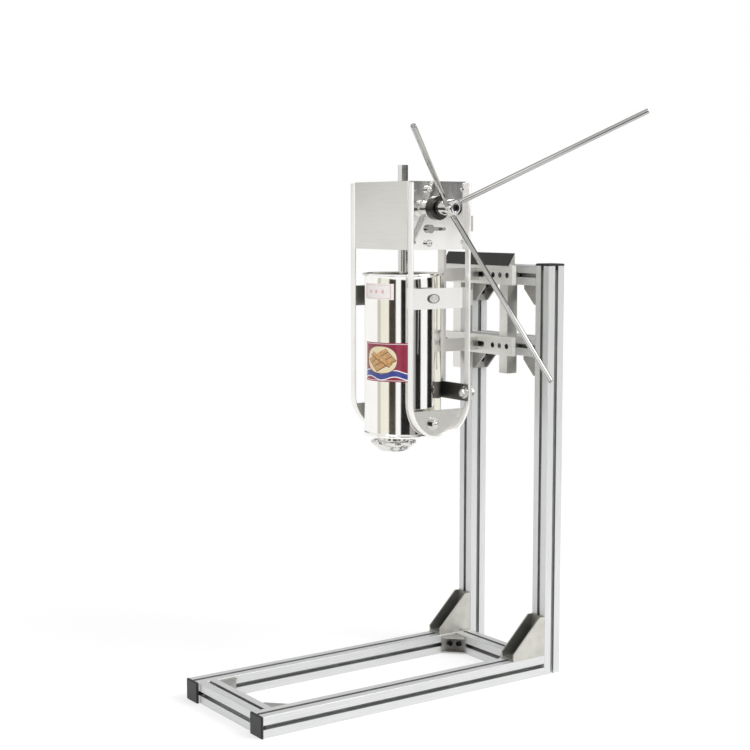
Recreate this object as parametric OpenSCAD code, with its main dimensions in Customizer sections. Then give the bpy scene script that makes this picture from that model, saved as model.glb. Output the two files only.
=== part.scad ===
// Hand-cranked churro press on a slotted aluminium stand. Millimetres, +Z up.
// The origin is at floor level, midway between the two uprights.
// +X is the crank side ("near"), -Y is the open front end of the base.

/* [Stand] */
// Depth of the base, from the front caps to the backs of the uprights
base_len = 700; // [640:10:800]
// Width of the stand over both rails
stand_w = 280; // [270:10:330]
// Height of the uprights without their caps
upright_h = 822; // [800:1:860]
// Height of the lower cross rail's middle line
lower_rail_z = 660; // [640:5:680]
// Side of the square slotted profile
profile = 40; // [40:1:42]
// Thickness of the plastic end caps
cap_t = 4.5; // [3:0.5:6]

/* [Hanging bracket] */
// Length of the two drilled mounting plates
plate_len = 228; // [222:2:250]
// Height of a mounting plate
plate_h = 38; // [34:1:40]
// Thickness of a mounting plate
plate_t = 10; // [8:0.5:12]
// Side of the square steel tubes
tube = 25; // [24:0.5:28]
// Height of the spacer tubes' lower ends
spacer_z = 604; // [580:2:620]
// Length of the folded guard on the upper plate
guard_len = 216; // [190:2:220]

/* [Press frame] */
// Sideways place of the press in the stand, from the middle
press_x = -44; // [-50:1:-40]
// Distance from the uprights' middle line to the barrel's axis
press_reach = 240; // [236:1:250]
// Height of the loops' lowest point
loop_z = 489; // [484:1:494]
// Overall width of a loop, front leg to rear leg
loop_w = 142; // [138:1:146]
// Width of the loops' flat strip
strip_w = 15; // [12:0.5:18]
// Thickness of the loops' flat strip
strip_t = 4; // [3:0.5:5]
// Distance by which the loops' middle lies behind the barrel's axis
loop_back = 17; // [16:0.5:18]
// Height of a middle plate
mid_plate_h = 40; // [30:1:44]
// Distance of a middle plate's upper edge below the barrel's lip
mid_plate_drop = 27; // [20:1:34]

/* [Gear housing] */
// Clear width between the side plates
housing_w = 180; // [180:1:186]
// Height of the housing
housing_h = 131; // [131:1:138]
// Distance from the barrel's lip up to the housing
housing_gap = 47; // [46:1:60]
// Height of the crank shaft's axis above the housing's lower edge
shaft_up = 80; // [79:0.5:81]
// Thickness of the side plates
side_t = 3; // [2.5:0.5:4]
// Thickness of the sheet covers
cover_t = 1.5; // [1:0.5:2]

/* [Barrel and piston] */
// Bore of the barrel
barrel_bore = 148; // [144:1:149]
// Wall of the barrel
barrel_wall = 2; // [1.5:0.5:2.5]
// Height of the barrel's underside
barrel_z = 487; // [485:1:488]
// Height of the barrel
barrel_h = 321; // [315:1:322]
// Distance by which the outlet lies in front of the barrel's axis
outlet_front = 22; // [18:1:24]
// Bore of the outlet neck
outlet_bore = 52; // [46:1:54]
// Largest width of the nozzle nut
nut_w = 89; // [84:1:92]
// Thickness of the piston
piston_t = 22; // [20:1:26]

/* [Rack and crank] */
// Diameter of the rack rod
rack_d = 20; // [20:0.5:22]
// Height by which the rack rod stands out of the housing with the piston down
rack_out = 33; // [20:1:60]
// Module of the rack and pinion
gear_m = 2; // [1.9:0.05:2.05]
// Diameter of the crank shaft
shaft_d = 16; // [15:0.5:16.5]
// Length of a crank arm from the point where the arms' axes meet
arm_len = 412; // [360:2:430]
// Diameter of a crank arm
arm_d = 10; // [8:0.5:11]
// Angle by which the arms lean outwards
arm_lean = 41; // [39:1:43]
// Least distance of the piston over the barrel's lip when it is fully up
piston_clear = 12; // [10:1:14]

/* [Hidden] */
$fn = 48;

// Overrun of every cutting shape
cut = 1;
// Clearance of a screw in its hole
screw_gap = 0.2;
// Radial clearance of a running fit
run_gap = 0.05;

// Slotted profile: rounded edge, slot mouth, lip, slot chamber and centre bore
edge_r = 1.5;
slot_mouth = 8.2;
slot_lip = 4.5;
slot_w = 20;
slot_step = 2;
slot_depth = 12.25;
slot_floor = 9;
core_r = 3.4;
cap_peg_w = 12;
cap_peg_len = 8;
cap_edge = 1.2;

// Places of the stand's members
rail_x = stand_w / 2 - profile / 2;
inner_x = stand_w / 2 - profile;
front_y = profile / 2 - base_len;
upright_front_y = -profile / 2;
upper_rail_z = upright_h - profile / 2;
front_rail_set = 6;
front_rail_y = front_y + front_rail_set + profile / 2;
rear_rail_y = upright_front_y - profile / 2;

// Screws: shank radius, head radius and height, socket radius and depth
m8_r = 4;
m8_head_r = 6.5;
m8_head_h = 8;
m6_r = 3;
m6_head_r = 5;
m6_head_h = 6;
socket_share = 0.5;

// Cast corner pieces: leg, flat tip, width, flange and web
gusset = 80;
gusset_tip = 13;
gusset_w = 38;
gusset_flange = 5;
gusset_web = 3.5;
gusset_hole_share = 0.62;
bracket = 38;
bracket_tip = 7;
bracket_w = 34;
bracket_flange = 4;
bracket_web = 3;
bracket_hole_share = 0.52;

// Slot nuts
nut_w_slot = 14;
nut_len = 18;
nut_t = 4.5;

// Hanging bracket
spacer_dx = rail_x + press_x;
tube_wall = 2;
tube_back_y = upright_front_y;
tube_front_y = tube_back_y - tube;
plate_front_y = tube_front_y - plate_t;
hole_pitch = 22;
open_hole_r = 5.5;
bore_sink = 7;
slot_half = 27;
slot_r = 5.5;
guard_t = 1.5;
guard_h = 25;
guard_d = 16;
guard_tongue_w = 18;
guard_tongue_h = 36;
arm_w = 14;
arm_h = 25;
arm_bolt_in = 20;
bar_t = 6;
bar_h = 30;
bar_overlap = 13;
post_w = 20;
post_t = 6;
post_z = 560;
bar_low_z = 574;
bar_up = 50;
post_over = 20;
stop_t = 4;
stop_h = 33;
frame_bolt_in = 6;
washer_r = 12;
washer_t = 1.6;
hex_r = 8;
hex_h = 6.5;
bolt_stub = 4;

// Press frame
press_y = -press_reach;
barrel_top = barrel_z + barrel_h;
housing_z = barrel_top + housing_gap;
mid_plate_top = barrel_top - mid_plate_drop;
bar_mid_z = mid_plate_top - mid_plate_h / 2;
bar_top_z = housing_z + bar_up;
post_top = bar_top_z + post_over;
loop_y = press_y + loop_back;
loop_front_y = loop_y - loop_w / 2;
loop_rear_y = loop_y + loop_w / 2;
leg_front_in = loop_front_y + strip_t;
leg_rear_in = loop_rear_y - strip_t;
loop_r = loop_w / 2;
loop_top = housing_z + housing_h - 2;
loop_mid_z = loop_z + loop_r;
half_in = housing_w / 2;
half_out = half_in + strip_w;
bar_half = half_in + bar_overlap;
bar_front_y = loop_rear_y;
post_front_y = bar_front_y + bar_t;
post_back_y = post_front_y + post_t;
mid_t = 2.5;
mid_in = 1;
stud_len = 26;
stud_h = 18;
stud_up = 3;
stud_y = 5;
stud_rim = 2.4;
stud_sink = 1.2;
dplate_top = 543;
trunnion_z = 518;
trunnion_dy = 4;
trunnion_r = 6;
trunnion_collar = 10;
trunnion_end = 6;
dome_r = 8;
dome_h = 7;
big_washer_r = 13;

// Gear housing
shaft_z = housing_z + shaft_up;
cover_flange = 14;
flange_gap = 0.5;
screw_in = 9;
screw_rear = 10;
screw_up = 15;
m5_r = 2.5;
m5_head_r = 4.3;
m5_head_h = 2.6;
m5_len = 6;
rod_hole_gap = 2;
guide_h = 16;
guide_w = 42;
guide_dy = -3;
guide_top_in = 16;
guide_up_z = housing_h - guide_top_in;
guide_low_z = 13;
guide_bolt_dy = -6;
bush_wall = 3;
guide_bolt_in = 18;
guide_dome_r = 7.3;
guide_dome_h = 6;
guide_head_h = 5;

// Place of the piston
barrel_floor = 3;
piston_lift = 1;
piston_z = barrel_z + barrel_floor + piston_lift;

// Rack and pinion: teeth, pressure angle, tooth heights as shares of the module
teeth = 8;
ratchet_teeth = 12;
press_angle = 25;
rack_add_share = 0.675;
pinion_add_share = 0.85;
root_gap_share = 0.15;
backlash_share = 0.06;
rack_pitch_share = 0.6;
pitch = PI * gear_m;
pinion_r = gear_m * teeth / 2;
base_r = pinion_r * cos(press_angle);
pinion_out = pinion_r + pinion_add_share * gear_m;
pinion_root = pinion_r - (rack_add_share + root_gap_share + 0.25 * pinion_add_share) * gear_m;
rack_r = rack_d / 2;
rack_line = rack_pitch_share * rack_r;
rack_tip = rack_line + rack_add_share * gear_m;
rack_root = rack_line - (pinion_add_share + root_gap_share) * gear_m;
half_tooth = (pitch - backlash_share * gear_m) / 4;
shaft_y = press_y + rack_line + pinion_r;
shaft_r = shaft_d / 2;
pinion_half = 9.5;
click = 2 * PI * pinion_r / ratchet_teeth;
stroke = ceil((barrel_top + piston_clear - piston_z) / click) * click;
teeth_spare = 12;
teeth_below = ceil((stroke + teeth_spare) / pitch);
teeth_above = 3;
rack_top = housing_z + housing_h + rack_out;
shaft_far_end = 4;
bearing_flange_r = 23;
bearing_flange_t = 8;
bearing_sleeve_r = 13;
bearing_sleeve_in = 8;

// Ratchet wheel and its pawl
ratchet_out = 24;
ratchet_root = 19.5;
ratchet_in = 20;
ratchet_t = 8;
pawl_dy = -20;
pawl_dz = -40;
pawl_len = 24;
pawl_boss_r = 8;
pawl_pin_r = 5;
pawl_tip_r = 22.4;
pawl_tip_lag = 13;
pawl_swing = 21;
pawl_root_half = 4;
pawl_low_half = 2.2;
pawl_tip_half = 0.8;
pawl_taper = 6;
pawl_y = shaft_y + pawl_dy;
pawl_z = shaft_z + pawl_dz;
pawl_reach = norm([pawl_dy, pawl_dz]);
pawl_aim = atan2(-pawl_dz, -pawl_dy)
    - acos((pawl_len * pawl_len + pawl_reach * pawl_reach - pawl_tip_r * pawl_tip_r)
        / (2 * pawl_len * pawl_reach));
pawl_tip = [pawl_dy + pawl_len * cos(pawl_aim), pawl_dz + pawl_len * sin(pawl_aim)];
ratchet_phase = atan2(pawl_tip[1], pawl_tip[0]) + pawl_tip_lag;
pawl_rest = pawl_aim - pawl_swing;
lever_boss_r = 8.5;
lever_boss_t = 6;
lever_gap = 0.4;
lever_len = 27;
lever_w = 7;
lever_t = 4;
lever_tip_out = 7;
spring_gap = 0.6;

// Crank hub and arms
hub_gap = 3;
hub_body_r = 14;
hub_head_r = 16;
hub_body_len = 30;
hub_head_len = 19;
hub_edge = 2;
spigot_r = 6;
spigot_len = 18;
arms_meet = 127;
arm_start = 11;
arm_edge = 1.2;
hub_screw_head_r = 6.5;
hub_screw_head_h = 6;
hub_sink_r = 7.5;
hub_sink = 7;
arm_phase = 34.8;
arm_count = 3;
hub_x = half_in + side_t + bearing_flange_t + hub_gap;

// Barrel, piston and nozzle
barrel_r = barrel_bore / 2 + barrel_wall;
lip_r = 81;
lip_h = 7;
lip_roll = 1.8;
ring_t = 1.4;
ring_h = 9;
neck_wall = 4;
piston_gap = 0.4;
seal_gap = 0.06;
seal_h = 8;
seal_t = 4;
piston_edge = 2;
stud_r = 6;
stud_lift = 2;
recess_r = 14;
recess_h = 10;
rod_nut_r = 11;
rod_nut_h = 7;
nut_top = 477;
nut_h = 19;
nut_low_r = 30;
nut_lip = 2;
nut_mouth_r = 22;
nut_grips = 8;
grip_r = 7;
grip_out = 3.5;
neck_gap = 0.1;
die_t = 4;
die_points = 8;
die_star_r = 11;
die_star_in_share = 0.68;
outlet_y = press_y - outlet_front;
die_z = nut_top - nut_h + nut_lip;
neck_h = barrel_z - die_z - die_t;

// A box between two opposite corners
module block(low, high) {
    translate(low) cube(high - low);
}

// A cylinder along X, from x0 to x1
module rod_x(r, x0, x1) {
    translate([x0, 0, 0]) rotate([0, 90, 0]) cylinder(r = r, h = x1 - x0);
}

// A cylinder along Y, from y0 to y1
module rod_y(r, y0, y1) {
    translate([0, y0, 0]) rotate([-90, 0, 0]) cylinder(r = r, h = y1 - y0);
}

// A flat outline, drawn as Y and Z, extruded from x0 to x1
module plate_x(x0, x1) {
    translate([x0, 0, 0]) rotate([90, 0, 90]) linear_extrude(x1 - x0) children();
}

// One undercut slot of the profile, open on its +X face
module slot_outline() {
    face = profile / 2;
    polygon([
        [face + cut, -slot_mouth / 2], [face - slot_lip, -slot_mouth / 2],
        [face - slot_lip, -slot_w / 2], [face - slot_lip - slot_step, -slot_w / 2],
        [face - slot_depth, -slot_floor / 2], [face - slot_depth, slot_floor / 2],
        [face - slot_lip - slot_step, slot_w / 2], [face - slot_lip, slot_w / 2],
        [face - slot_lip, slot_mouth / 2], [face + cut, slot_mouth / 2]]);
}

// Cross-section of the slotted profile
module profile_outline() {
    corner = profile / 2 - edge_r;
    difference() {
        union() {
            square([profile, 2 * corner], center = true);
            square([2 * corner, profile], center = true);
            for (x = [-1, 1], y = [-1, 1]) translate([x, y] * corner) circle(edge_r);
        }
        for (a = [0:90:270]) rotate(a) slot_outline();
        circle(core_r);
    }
}

module profile_x(x0, x1) {
    color("gainsboro") plate_x(x0, x1) profile_outline();
}

module profile_y(y0, y1) {
    color("gainsboro") translate([0, y0, 0]) rotate([-90, 0, 0])
        linear_extrude(y1 - y0) profile_outline();
}

module profile_z(z0, z1) {
    color("gainsboro") translate([0, 0, z0]) linear_extrude(z1 - z0) profile_outline();
}

module base_rail(side) {
    translate([side * rail_x, 0, profile / 2]) profile_y(front_y + cap_t, upright_front_y);
}

module base_cross_rail(y) {
    translate([0, y, profile / 2]) profile_x(-inner_x, inner_x);
}

module upright(side) {
    translate([side * rail_x, 0, 0]) profile_z(0, upright_h);
}

module cross_rail(z) {
    translate([0, 0, z]) profile_x(-inner_x, inner_x);
}

// A cap lies on the XY plane, with a flat peg in each slot below
module end_cap() {
    color("dimgray") {
        side = profile / 2;
        block([-side, -side, 0], [side, side, cap_t - cap_edge]);
        block([cap_edge - side, cap_edge - side, cap_t - cap_edge],
            [side - cap_edge, side - cap_edge, cap_t]);
        for (a = [0:90:270]) rotate(a)
            block([side - slot_lip - slot_step, -cap_peg_w / 2, -cap_peg_len],
                [side - slot_lip, cap_peg_w / 2, 0]);
    }
}

module end_caps() {
    for (side = [-1, 1]) translate([side * rail_x, 0, 0]) {
        translate([0, 0, upright_h]) end_cap();
        translate([0, front_y + cap_t, profile / 2]) rotate([90, 0, 0]) end_cap();
    }
}

// A corner piece: one leg lies along +X on the XY plane, the other along +Z
module corner_piece(leg, tip, width, flange, web, hole_r, hole_share) {
    hole = leg * hole_share;
    difference() {
        union() {
            block([0, -width / 2, 0], [leg, width / 2, flange]);
            block([0, -width / 2, 0], [flange, width / 2, leg]);
            for (side = [0, 1]) translate([0, web + side * (width - web) - width / 2, 0])
                rotate([90, 0, 0]) linear_extrude(web)
                polygon([[0, 0], [leg, 0], [leg, tip], [tip, leg], [0, leg]]);
        }
        translate([hole, 0, -cut]) cylinder(r = hole_r, h = flange + 2 * cut);
        translate([0, 0, hole]) rod_x(hole_r, -cut, flange + cut);
    }
}

// Where the corner pieces stand: corner point, then turn
gusset_places = [for (side = [-1, 1]) [[side * rail_x, upright_front_y, profile], [0, 0, -90]]];
bracket_places = concat(
    [for (z = [upper_rail_z, lower_rail_z], side = [-1, 1])
        [[side * inner_x, 0, z - profile / 2], side > 0 ? [0, 180, 0] : [180, 0, 0]]],
    [for (end = [-1, 1], side = [-1, 1])
        [[side * inner_x, end < 0 ? front_rail_y + profile / 2 : rear_rail_y - profile / 2,
            profile / 2],
         [side * end > 0 ? -90 : 90, 0, side > 0 ? 180 : 0]]]);

module at_places(places) {
    for (p = places) translate(p[0]) rotate(p[1]) children();
}

module base_gussets() {
    color("lightgray") at_places(gusset_places)
        corner_piece(gusset, gusset_tip, gusset_w, gusset_flange, gusset_web,
            m8_r + screw_gap, gusset_hole_share);
}

module corner_brackets() {
    color("silver") at_places(bracket_places)
        corner_piece(bracket, bracket_tip, bracket_w, bracket_flange, bracket_web,
            m6_r + screw_gap, bracket_hole_share);
}

// A socket-head screw pointing down, its head standing on the XY plane
module socket_screw(shank_r, length, head_r, head_h) {
    difference() {
        union() {
            translate([0, 0, -length]) cylinder(r = shank_r, h = length);
            cylinder(r = head_r, h = head_h);
        }
        translate([0, 0, head_h * socket_share])
            cylinder(r = head_r * socket_share, h = head_h, $fn = 6);
    }
}

// The same thing at both screw places of a corner piece, seen from its leg
module at_holes(hole, flange) {
    translate([hole, 0, flange]) children();
    translate([flange, 0, hole]) rotate([0, 90, 0]) children();
}

module bracket_screws() {
    reach = slot_lip + nut_t;
    color("black") {
        at_places(gusset_places) at_holes(gusset * gusset_hole_share, gusset_flange)
            socket_screw(m8_r, gusset_flange + reach, m8_head_r, m8_head_h);
        at_places(bracket_places) at_holes(bracket * bracket_hole_share, bracket_flange)
            socket_screw(m6_r, bracket_flange + reach, m6_head_r, m6_head_h);
    }
}

// A slot nut just inside the lips of the slot whose face is the XY plane
module slot_nut(screw_r) {
    translate([0, 0, -slot_lip - nut_t]) difference() {
        block([-nut_len / 2, -nut_w_slot / 2, 0], [nut_len / 2, nut_w_slot / 2, nut_t]);
        translate([0, 0, -cut]) cylinder(r = screw_r, h = nut_t + 2 * cut);
    }
}

module slot_nuts() {
    color("gray") {
        at_places(gusset_places) at_holes(gusset * gusset_hole_share, 0) slot_nut(m8_r);
        at_places(bracket_places) at_holes(bracket * bracket_hole_share, 0) slot_nut(m6_r);
        for (z = [lower_rail_z, upper_rail_z]) {
            translate([press_x + spacer_dx, upright_front_y, z]) rotate([90, 0, 0])
                slot_nut(m6_r);
            translate([press_x - spacer_dx, upright_front_y, z]) rotate([90, 90, 0])
                slot_nut(m6_r);
        }
    }
}

// A drilled plate: a slot in the middle, and three holes at each end
module mount_plate(z) {
    color("silver") translate([press_x, 0, z]) difference() {
        block([-plate_len / 2, plate_front_y, -plate_h / 2],
            [plate_len / 2, tube_front_y, plate_h / 2]);
        for (side = [-1, 1]) {
            for (step = [-1, 1])
                translate([side * spacer_dx + step * hole_pitch, 0, 0])
                    rod_y(open_hole_r, plate_front_y - cut, tube_front_y + cut);
            translate([side * spacer_dx, 0, 0]) {
                rod_y(open_hole_r, plate_front_y - cut, plate_front_y + bore_sink);
                rod_y(m6_r + screw_gap, plate_front_y, tube_front_y + cut);
            }
            translate([side * (slot_half - slot_r), 0, 0])
                rod_y(slot_r, plate_front_y - cut, tube_front_y + cut);
        }
        block([slot_r - slot_half, plate_front_y - cut, -slot_r],
            [slot_half - slot_r, tube_front_y + cut, slot_r]);
    }
}

// An upright square tube from z0 to z1, with one corner at low_x and low_y
module square_tube(low_x, low_y, z0, z1) {
    difference() {
        block([low_x, low_y, z0], [low_x + tube, low_y + tube, z1]);
        block([low_x + tube_wall, low_y + tube_wall, z0 - cut],
            [low_x + tube - tube_wall, low_y + tube - tube_wall, z1 + cut]);
    }
}

module spacer_tubes() {
    color("silver") for (side = [-1, 1]) translate([press_x + side * spacer_dx, 0, 0])
        difference() {
            square_tube(-tube / 2, tube_front_y, spacer_z, upper_rail_z + plate_h / 2);
            for (z = [lower_rail_z, upper_rail_z]) translate([0, 0, z])
                rod_y(m6_r + screw_gap, tube_front_y - cut, tube_back_y + cut);
        }
}

module mount_bolts() {
    color("black") for (side = [-1, 1], z = [lower_rail_z, upper_rail_z])
        translate([press_x + side * spacer_dx, plate_front_y + bore_sink, z])
        rotate([90, 0, 0])
        socket_screw(m6_r, plate_t - bore_sink + tube + slot_lip + nut_t,
            m6_head_r, m6_head_h);
}

// Folded sheet: a sloped face over the upper plate, closed ends, a tongue behind it
module top_guard() {
    foot = upper_rail_z + plate_h / 2;
    back = tube_front_y + guard_t;
    front = back - guard_d;
    slope = guard_h / guard_d;
    skin = guard_t * sqrt(1 + slope * slope);
    color("dimgray") translate([press_x, 0, 0]) {
        plate_x(-guard_len / 2, guard_len / 2) difference() {
            polygon([[front, foot], [back, foot], [back, foot + guard_h]]);
            polygon([[front + skin / slope - cut / slope, foot - cut],
                [back - guard_t, foot - cut],
                [back - guard_t, foot + guard_h - skin - guard_t * slope]]);
        }
        for (x = [-guard_len / 2, guard_len / 2 - guard_t]) plate_x(x, x + guard_t)
            polygon([[front, foot], [back, foot], [back, foot + guard_h]]);
        difference() {
            block([-guard_tongue_w / 2, tube_front_y, foot - guard_tongue_h],
                [guard_tongue_w / 2, back, foot]);
            translate([0, 0, upper_rail_z])
                rod_y(m8_r + screw_gap, tube_front_y - cut, back + cut);
        }
    }
}

module support_arms() {
    color("silver") for (z = [lower_rail_z, upper_rail_z]) translate([press_x, 0, z])
        difference() {
            block([-arm_w / 2, post_back_y, -arm_h / 2], [arm_w / 2, plate_front_y, arm_h / 2]);
            rod_y(m8_r, plate_front_y - arm_bolt_in, plate_front_y + cut);
        }
}

// Each bolt comes from behind its plate; the upper one also holds the guard
module arm_bolts() {
    color("black") for (z = [lower_rail_z, upper_rail_z]) {
        seat = z > lower_rail_z ? guard_t : 0;
        translate([press_x, tube_front_y + seat, z]) rotate([-90, 0, 0])
            socket_screw(m8_r, plate_t + seat + arm_bolt_in, m8_head_r, m8_head_h);
    }
}

module rear_post() {
    color("silver") translate([press_x, 0, 0])
        block([-post_w / 2, post_front_y, post_z], [post_w / 2, post_back_y, post_top]);
}

// Three flat bars across the backs of the loops
module rear_bars() {
    color("silver") translate([press_x, 0, 0]) difference() {
        for (z = [bar_low_z, bar_mid_z, bar_top_z])
            block([-bar_half, bar_front_y, z - bar_h / 2],
                [bar_half, bar_front_y + bar_t, z + bar_h / 2]);
        for (side = [-1, 1]) translate([side * (half_in + frame_bolt_in), 0, bar_low_z])
            rod_y(m8_r, bar_front_y - cut, bar_front_y + bar_t + cut);
    }
}

// Flat bar in front of the loops' rear legs, which stops the barrel
module stop_bar() {
    color("gray") translate([press_x, 0, bar_low_z]) difference() {
        block([-bar_half, leg_rear_in - stop_t, -stop_h / 2],
            [bar_half, leg_rear_in, stop_h / 2]);
        for (side = [-1, 1]) translate([side * (half_in + frame_bolt_in), 0, 0])
            rod_y(m8_r, leg_rear_in - stop_t - cut, leg_rear_in + cut);
    }
}

module frame_bolts() {
    seat = leg_rear_in - stop_t;
    back = bar_front_y + bar_t;
    color("silver") for (side = [-1, 1])
        translate([press_x + side * (half_in + frame_bolt_in), 0, bar_low_z]) {
            rod_y(m8_r, seat, back + hex_h + bolt_stub);
            rod_y(washer_r, seat - washer_t, seat);
            translate([0, seat - washer_t, 0]) rotate([90, 0, 0])
                cylinder(r = hex_r, h = hex_h, $fn = 6);
            translate([0, back + hex_h, 0]) rotate([90, 0, 0])
                cylinder(r = hex_r, h = hex_h, $fn = 6);
        }
}

// Outline of a loop, or of the space inside it when drawn smaller
module loop_outline(inset) {
    translate([loop_y, loop_mid_z]) circle(loop_r - inset);
    translate([loop_front_y + inset, loop_mid_z])
        square([loop_w - 2 * inset, loop_top - loop_mid_z]);
}

module loop(side) {
    low = side > 0 ? half_in : -half_out;
    color("whitesmoke") translate([press_x, 0, 0]) difference() {
        plate_x(low, low + strip_w) difference() {
            loop_outline(0);
            loop_outline(strip_t);
            translate([leg_front_in, loop_mid_z])
                square([loop_w - 2 * strip_t, loop_top - loop_mid_z + cut]);
        }
        translate([side * (half_in + frame_bolt_in), 0, bar_low_z])
            rod_y(m8_r, leg_rear_in - cut, loop_rear_y + cut);
    }
}

module mid_plate(side) {
    low = side > 0 ? half_in + mid_in : -half_in - mid_in - mid_t;
    color("lightgray") translate([press_x, 0, 0])
        block([low, leg_front_in, mid_plate_top - mid_plate_h],
            [low + mid_t, leg_rear_in, mid_plate_top]);
}

// Plain oval stud on the near middle plate
module plate_stud() {
    run = stud_len - stud_h;
    face = half_in + mid_in + mid_t;
    color("silver") translate([press_x, press_y + stud_y, mid_plate_top - mid_plate_h / 2])
        plate_x(face, face + stud_up) {
            for (side = [-1, 1]) translate([side * run / 2, 0]) circle(stud_h / 2);
            square([run, stud_h], center = true);
        }
}

// D-shaped plate that closes the bottom of a loop and carries the barrel
module trunnion_plate(side) {
    low = side > 0 ? half_in : -half_in - side_t;
    color("silver") translate([press_x, 0, 0]) difference() {
        plate_x(low, low + side_t) intersection() {
            translate([loop_y, loop_mid_z]) circle(loop_r - strip_t);
            translate([loop_front_y, loop_z]) square([loop_w, dplate_top - loop_z]);
        }
        translate([0, press_y + trunnion_dy, trunnion_z])
            rod_x(trunnion_r + screw_gap, -half_out, half_out);
    }
}

module trunnion_pins() {
    end = half_in + side_t + trunnion_end;
    color("silver") translate([press_x, press_y, 0]) difference() {
        for (side = [0, 1]) mirror([side, 0, 0]) translate([0, trunnion_dy, trunnion_z]) {
            rod_x(trunnion_collar, barrel_r / 2, half_in);
            rod_x(trunnion_r, half_in, end);
        }
        translate([0, 0, barrel_z]) cylinder(r = barrel_r, h = barrel_h, $fn = 96);
    }
}

// Washer and domed nut on each trunnion pin
module trunnion_nuts() {
    seat = half_in + side_t;
    color("silver") for (side = [0, 1])
        translate([press_x, press_y + trunnion_dy, trunnion_z]) mirror([side, 0, 0])
        difference() {
            union() {
                rod_x(big_washer_r, seat, seat + washer_t);
                translate([seat + washer_t, 0, 0]) rotate([0, 90, 0])
                    cylinder(r = dome_r, h = dome_h, $fn = 6);
                translate([seat + washer_t + dome_h, 0, 0]) intersection() {
                    sphere(dome_r * cos(30));
                    rod_x(dome_r, 0, dome_r);
                }
            }
            rod_x(trunnion_r, seat - cut, seat + trunnion_end);
        }
}

// Side plate between a loop's legs; the near one also passes the pawl's pin
module side_plate(side) {
    low = side > 0 ? half_in : -half_in - side_t;
    color("lightgray") difference() {
        translate([press_x, 0, 0]) block([low, leg_front_in, housing_z],
            [low + side_t, leg_rear_in, housing_z + housing_h]);
        translate([press_x + low, shaft_y, shaft_z])
            rod_x(bearing_sleeve_r, -cut, side_t + cut);
        for (z = [guide_low_z, guide_up_z])
            translate([press_x + low, press_y + guide_dy + guide_bolt_dy, housing_z + z])
            rod_x(m8_r + screw_gap, -cut, side_t + cut);
        if (side > 0) translate([press_x + low, pawl_y, pawl_z])
            rod_x(pawl_pin_r + run_gap, -cut, side_t + cut);
        at_cover_screws() translate([0, 0, side_t + cut]) rotate([180, 0, 0])
            cylinder(r = m5_r + screw_gap, h = side_t + 2 * cut);
    }
}

// The eight cover screws: the side plate's inner face is XY, +Z points outwards
module at_cover_screws() {
    for (side = [-1, 1], y = [leg_front_in + screw_in, leg_rear_in - screw_rear],
            z = [housing_z + screw_up, housing_z + housing_h - screw_up])
        translate([press_x + side * half_in, y, z]) rotate([0, side * 90, 0]) children();
}

// Sheet cover with two side flanges; end is -1 at the front and 1 at the rear
module sheet_cover(end) {
    outer = end < 0 ? loop_front_y : leg_rear_in;
    inner = outer - end * cover_t;
    edge = outer - end * cover_flange;
    color("gainsboro") difference() {
        translate([press_x, 0, 0]) {
            block([-half_in, min(outer, inner), housing_z],
                [half_in, max(outer, inner), housing_z + housing_h]);
            for (side = [-1, 1])
                block([min(side * half_in, side * (half_in - cover_t)), min(outer, edge),
                        housing_z + cover_t + flange_gap],
                    [max(side * half_in, side * (half_in - cover_t)), max(outer, edge),
                        housing_z + housing_h - cover_t - flange_gap]);
        }
        at_cover_screws() translate([0, 0, -cover_t - cut])
            cylinder(r = m5_r, h = cover_t + 2 * cut);
    }
}

// Flat cover between the front and rear covers, with a hole for the rack rod
module flat_cover(z) {
    color("gainsboro") difference() {
        translate([press_x, 0, 0])
            block([-half_in, loop_front_y + cover_t, z],
                [half_in, leg_rear_in - cover_t, z + cover_t]);
        translate([press_x, press_y, z - cut])
            cylinder(r = rack_r + rod_hole_gap, h = cover_t + 2 * cut);
    }
}

module cover_screws() {
    color("silver") at_cover_screws() translate([0, 0, side_t]) difference() {
        union() {
            translate([0, 0, -side_t - m5_len]) cylinder(r = m5_r, h = side_t + m5_len);
            cylinder(r1 = m5_head_r, r2 = m5_r, h = m5_head_h);
        }
        translate([0, 0, m5_head_h * socket_share])
            cylinder(r = m5_r * socket_share, h = m5_head_h, $fn = 6);
    }
}

// Cross bar between the side plates that guides the rack rod
module guide(z) {
    color("gray") translate([press_x, press_y, z]) difference() {
        block([-half_in, guide_dy - guide_w / 2, -guide_h / 2],
            [half_in, guide_dy + guide_w / 2, guide_h / 2]);
        translate([0, 0, -guide_h]) cylinder(r = rack_r + bush_wall, h = 2 * guide_h);
        for (side = [-1, 1]) translate([0, guide_dy + guide_bolt_dy, 0])
            rod_x(m8_r, side > 0 ? half_in - guide_bolt_in : -half_in - cut,
                side > 0 ? half_in + cut : guide_bolt_in - half_in);
    }
}

module guide_bushes() {
    color("peru") for (z = [guide_low_z, guide_up_z])
        translate([press_x, press_y, housing_z + z - guide_h / 2]) difference() {
            cylinder(r = rack_r + bush_wall, h = guide_h);
            translate([0, 0, -cut]) cylinder(r = rack_r + run_gap, h = guide_h + 2 * cut);
        }
}

// Dome-headed bolts that hold the guides between the side plates
module guide_bolts() {
    seat = half_in + side_t;
    color("silver") for (side = [0, 1], z = [guide_low_z, guide_up_z])
        translate([press_x, press_y + guide_dy + guide_bolt_dy, housing_z + z])
        mirror([side, 0, 0]) {
            rod_x(m8_r, half_in - guide_bolt_in, seat);
            rod_x(guide_dome_r, seat, seat + guide_head_h);
            translate([seat + guide_head_h, 0, 0]) intersection() {
                sphere(guide_dome_h);
                rod_x(guide_dome_h, 0, guide_dome_h);
            }
        }
}

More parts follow.
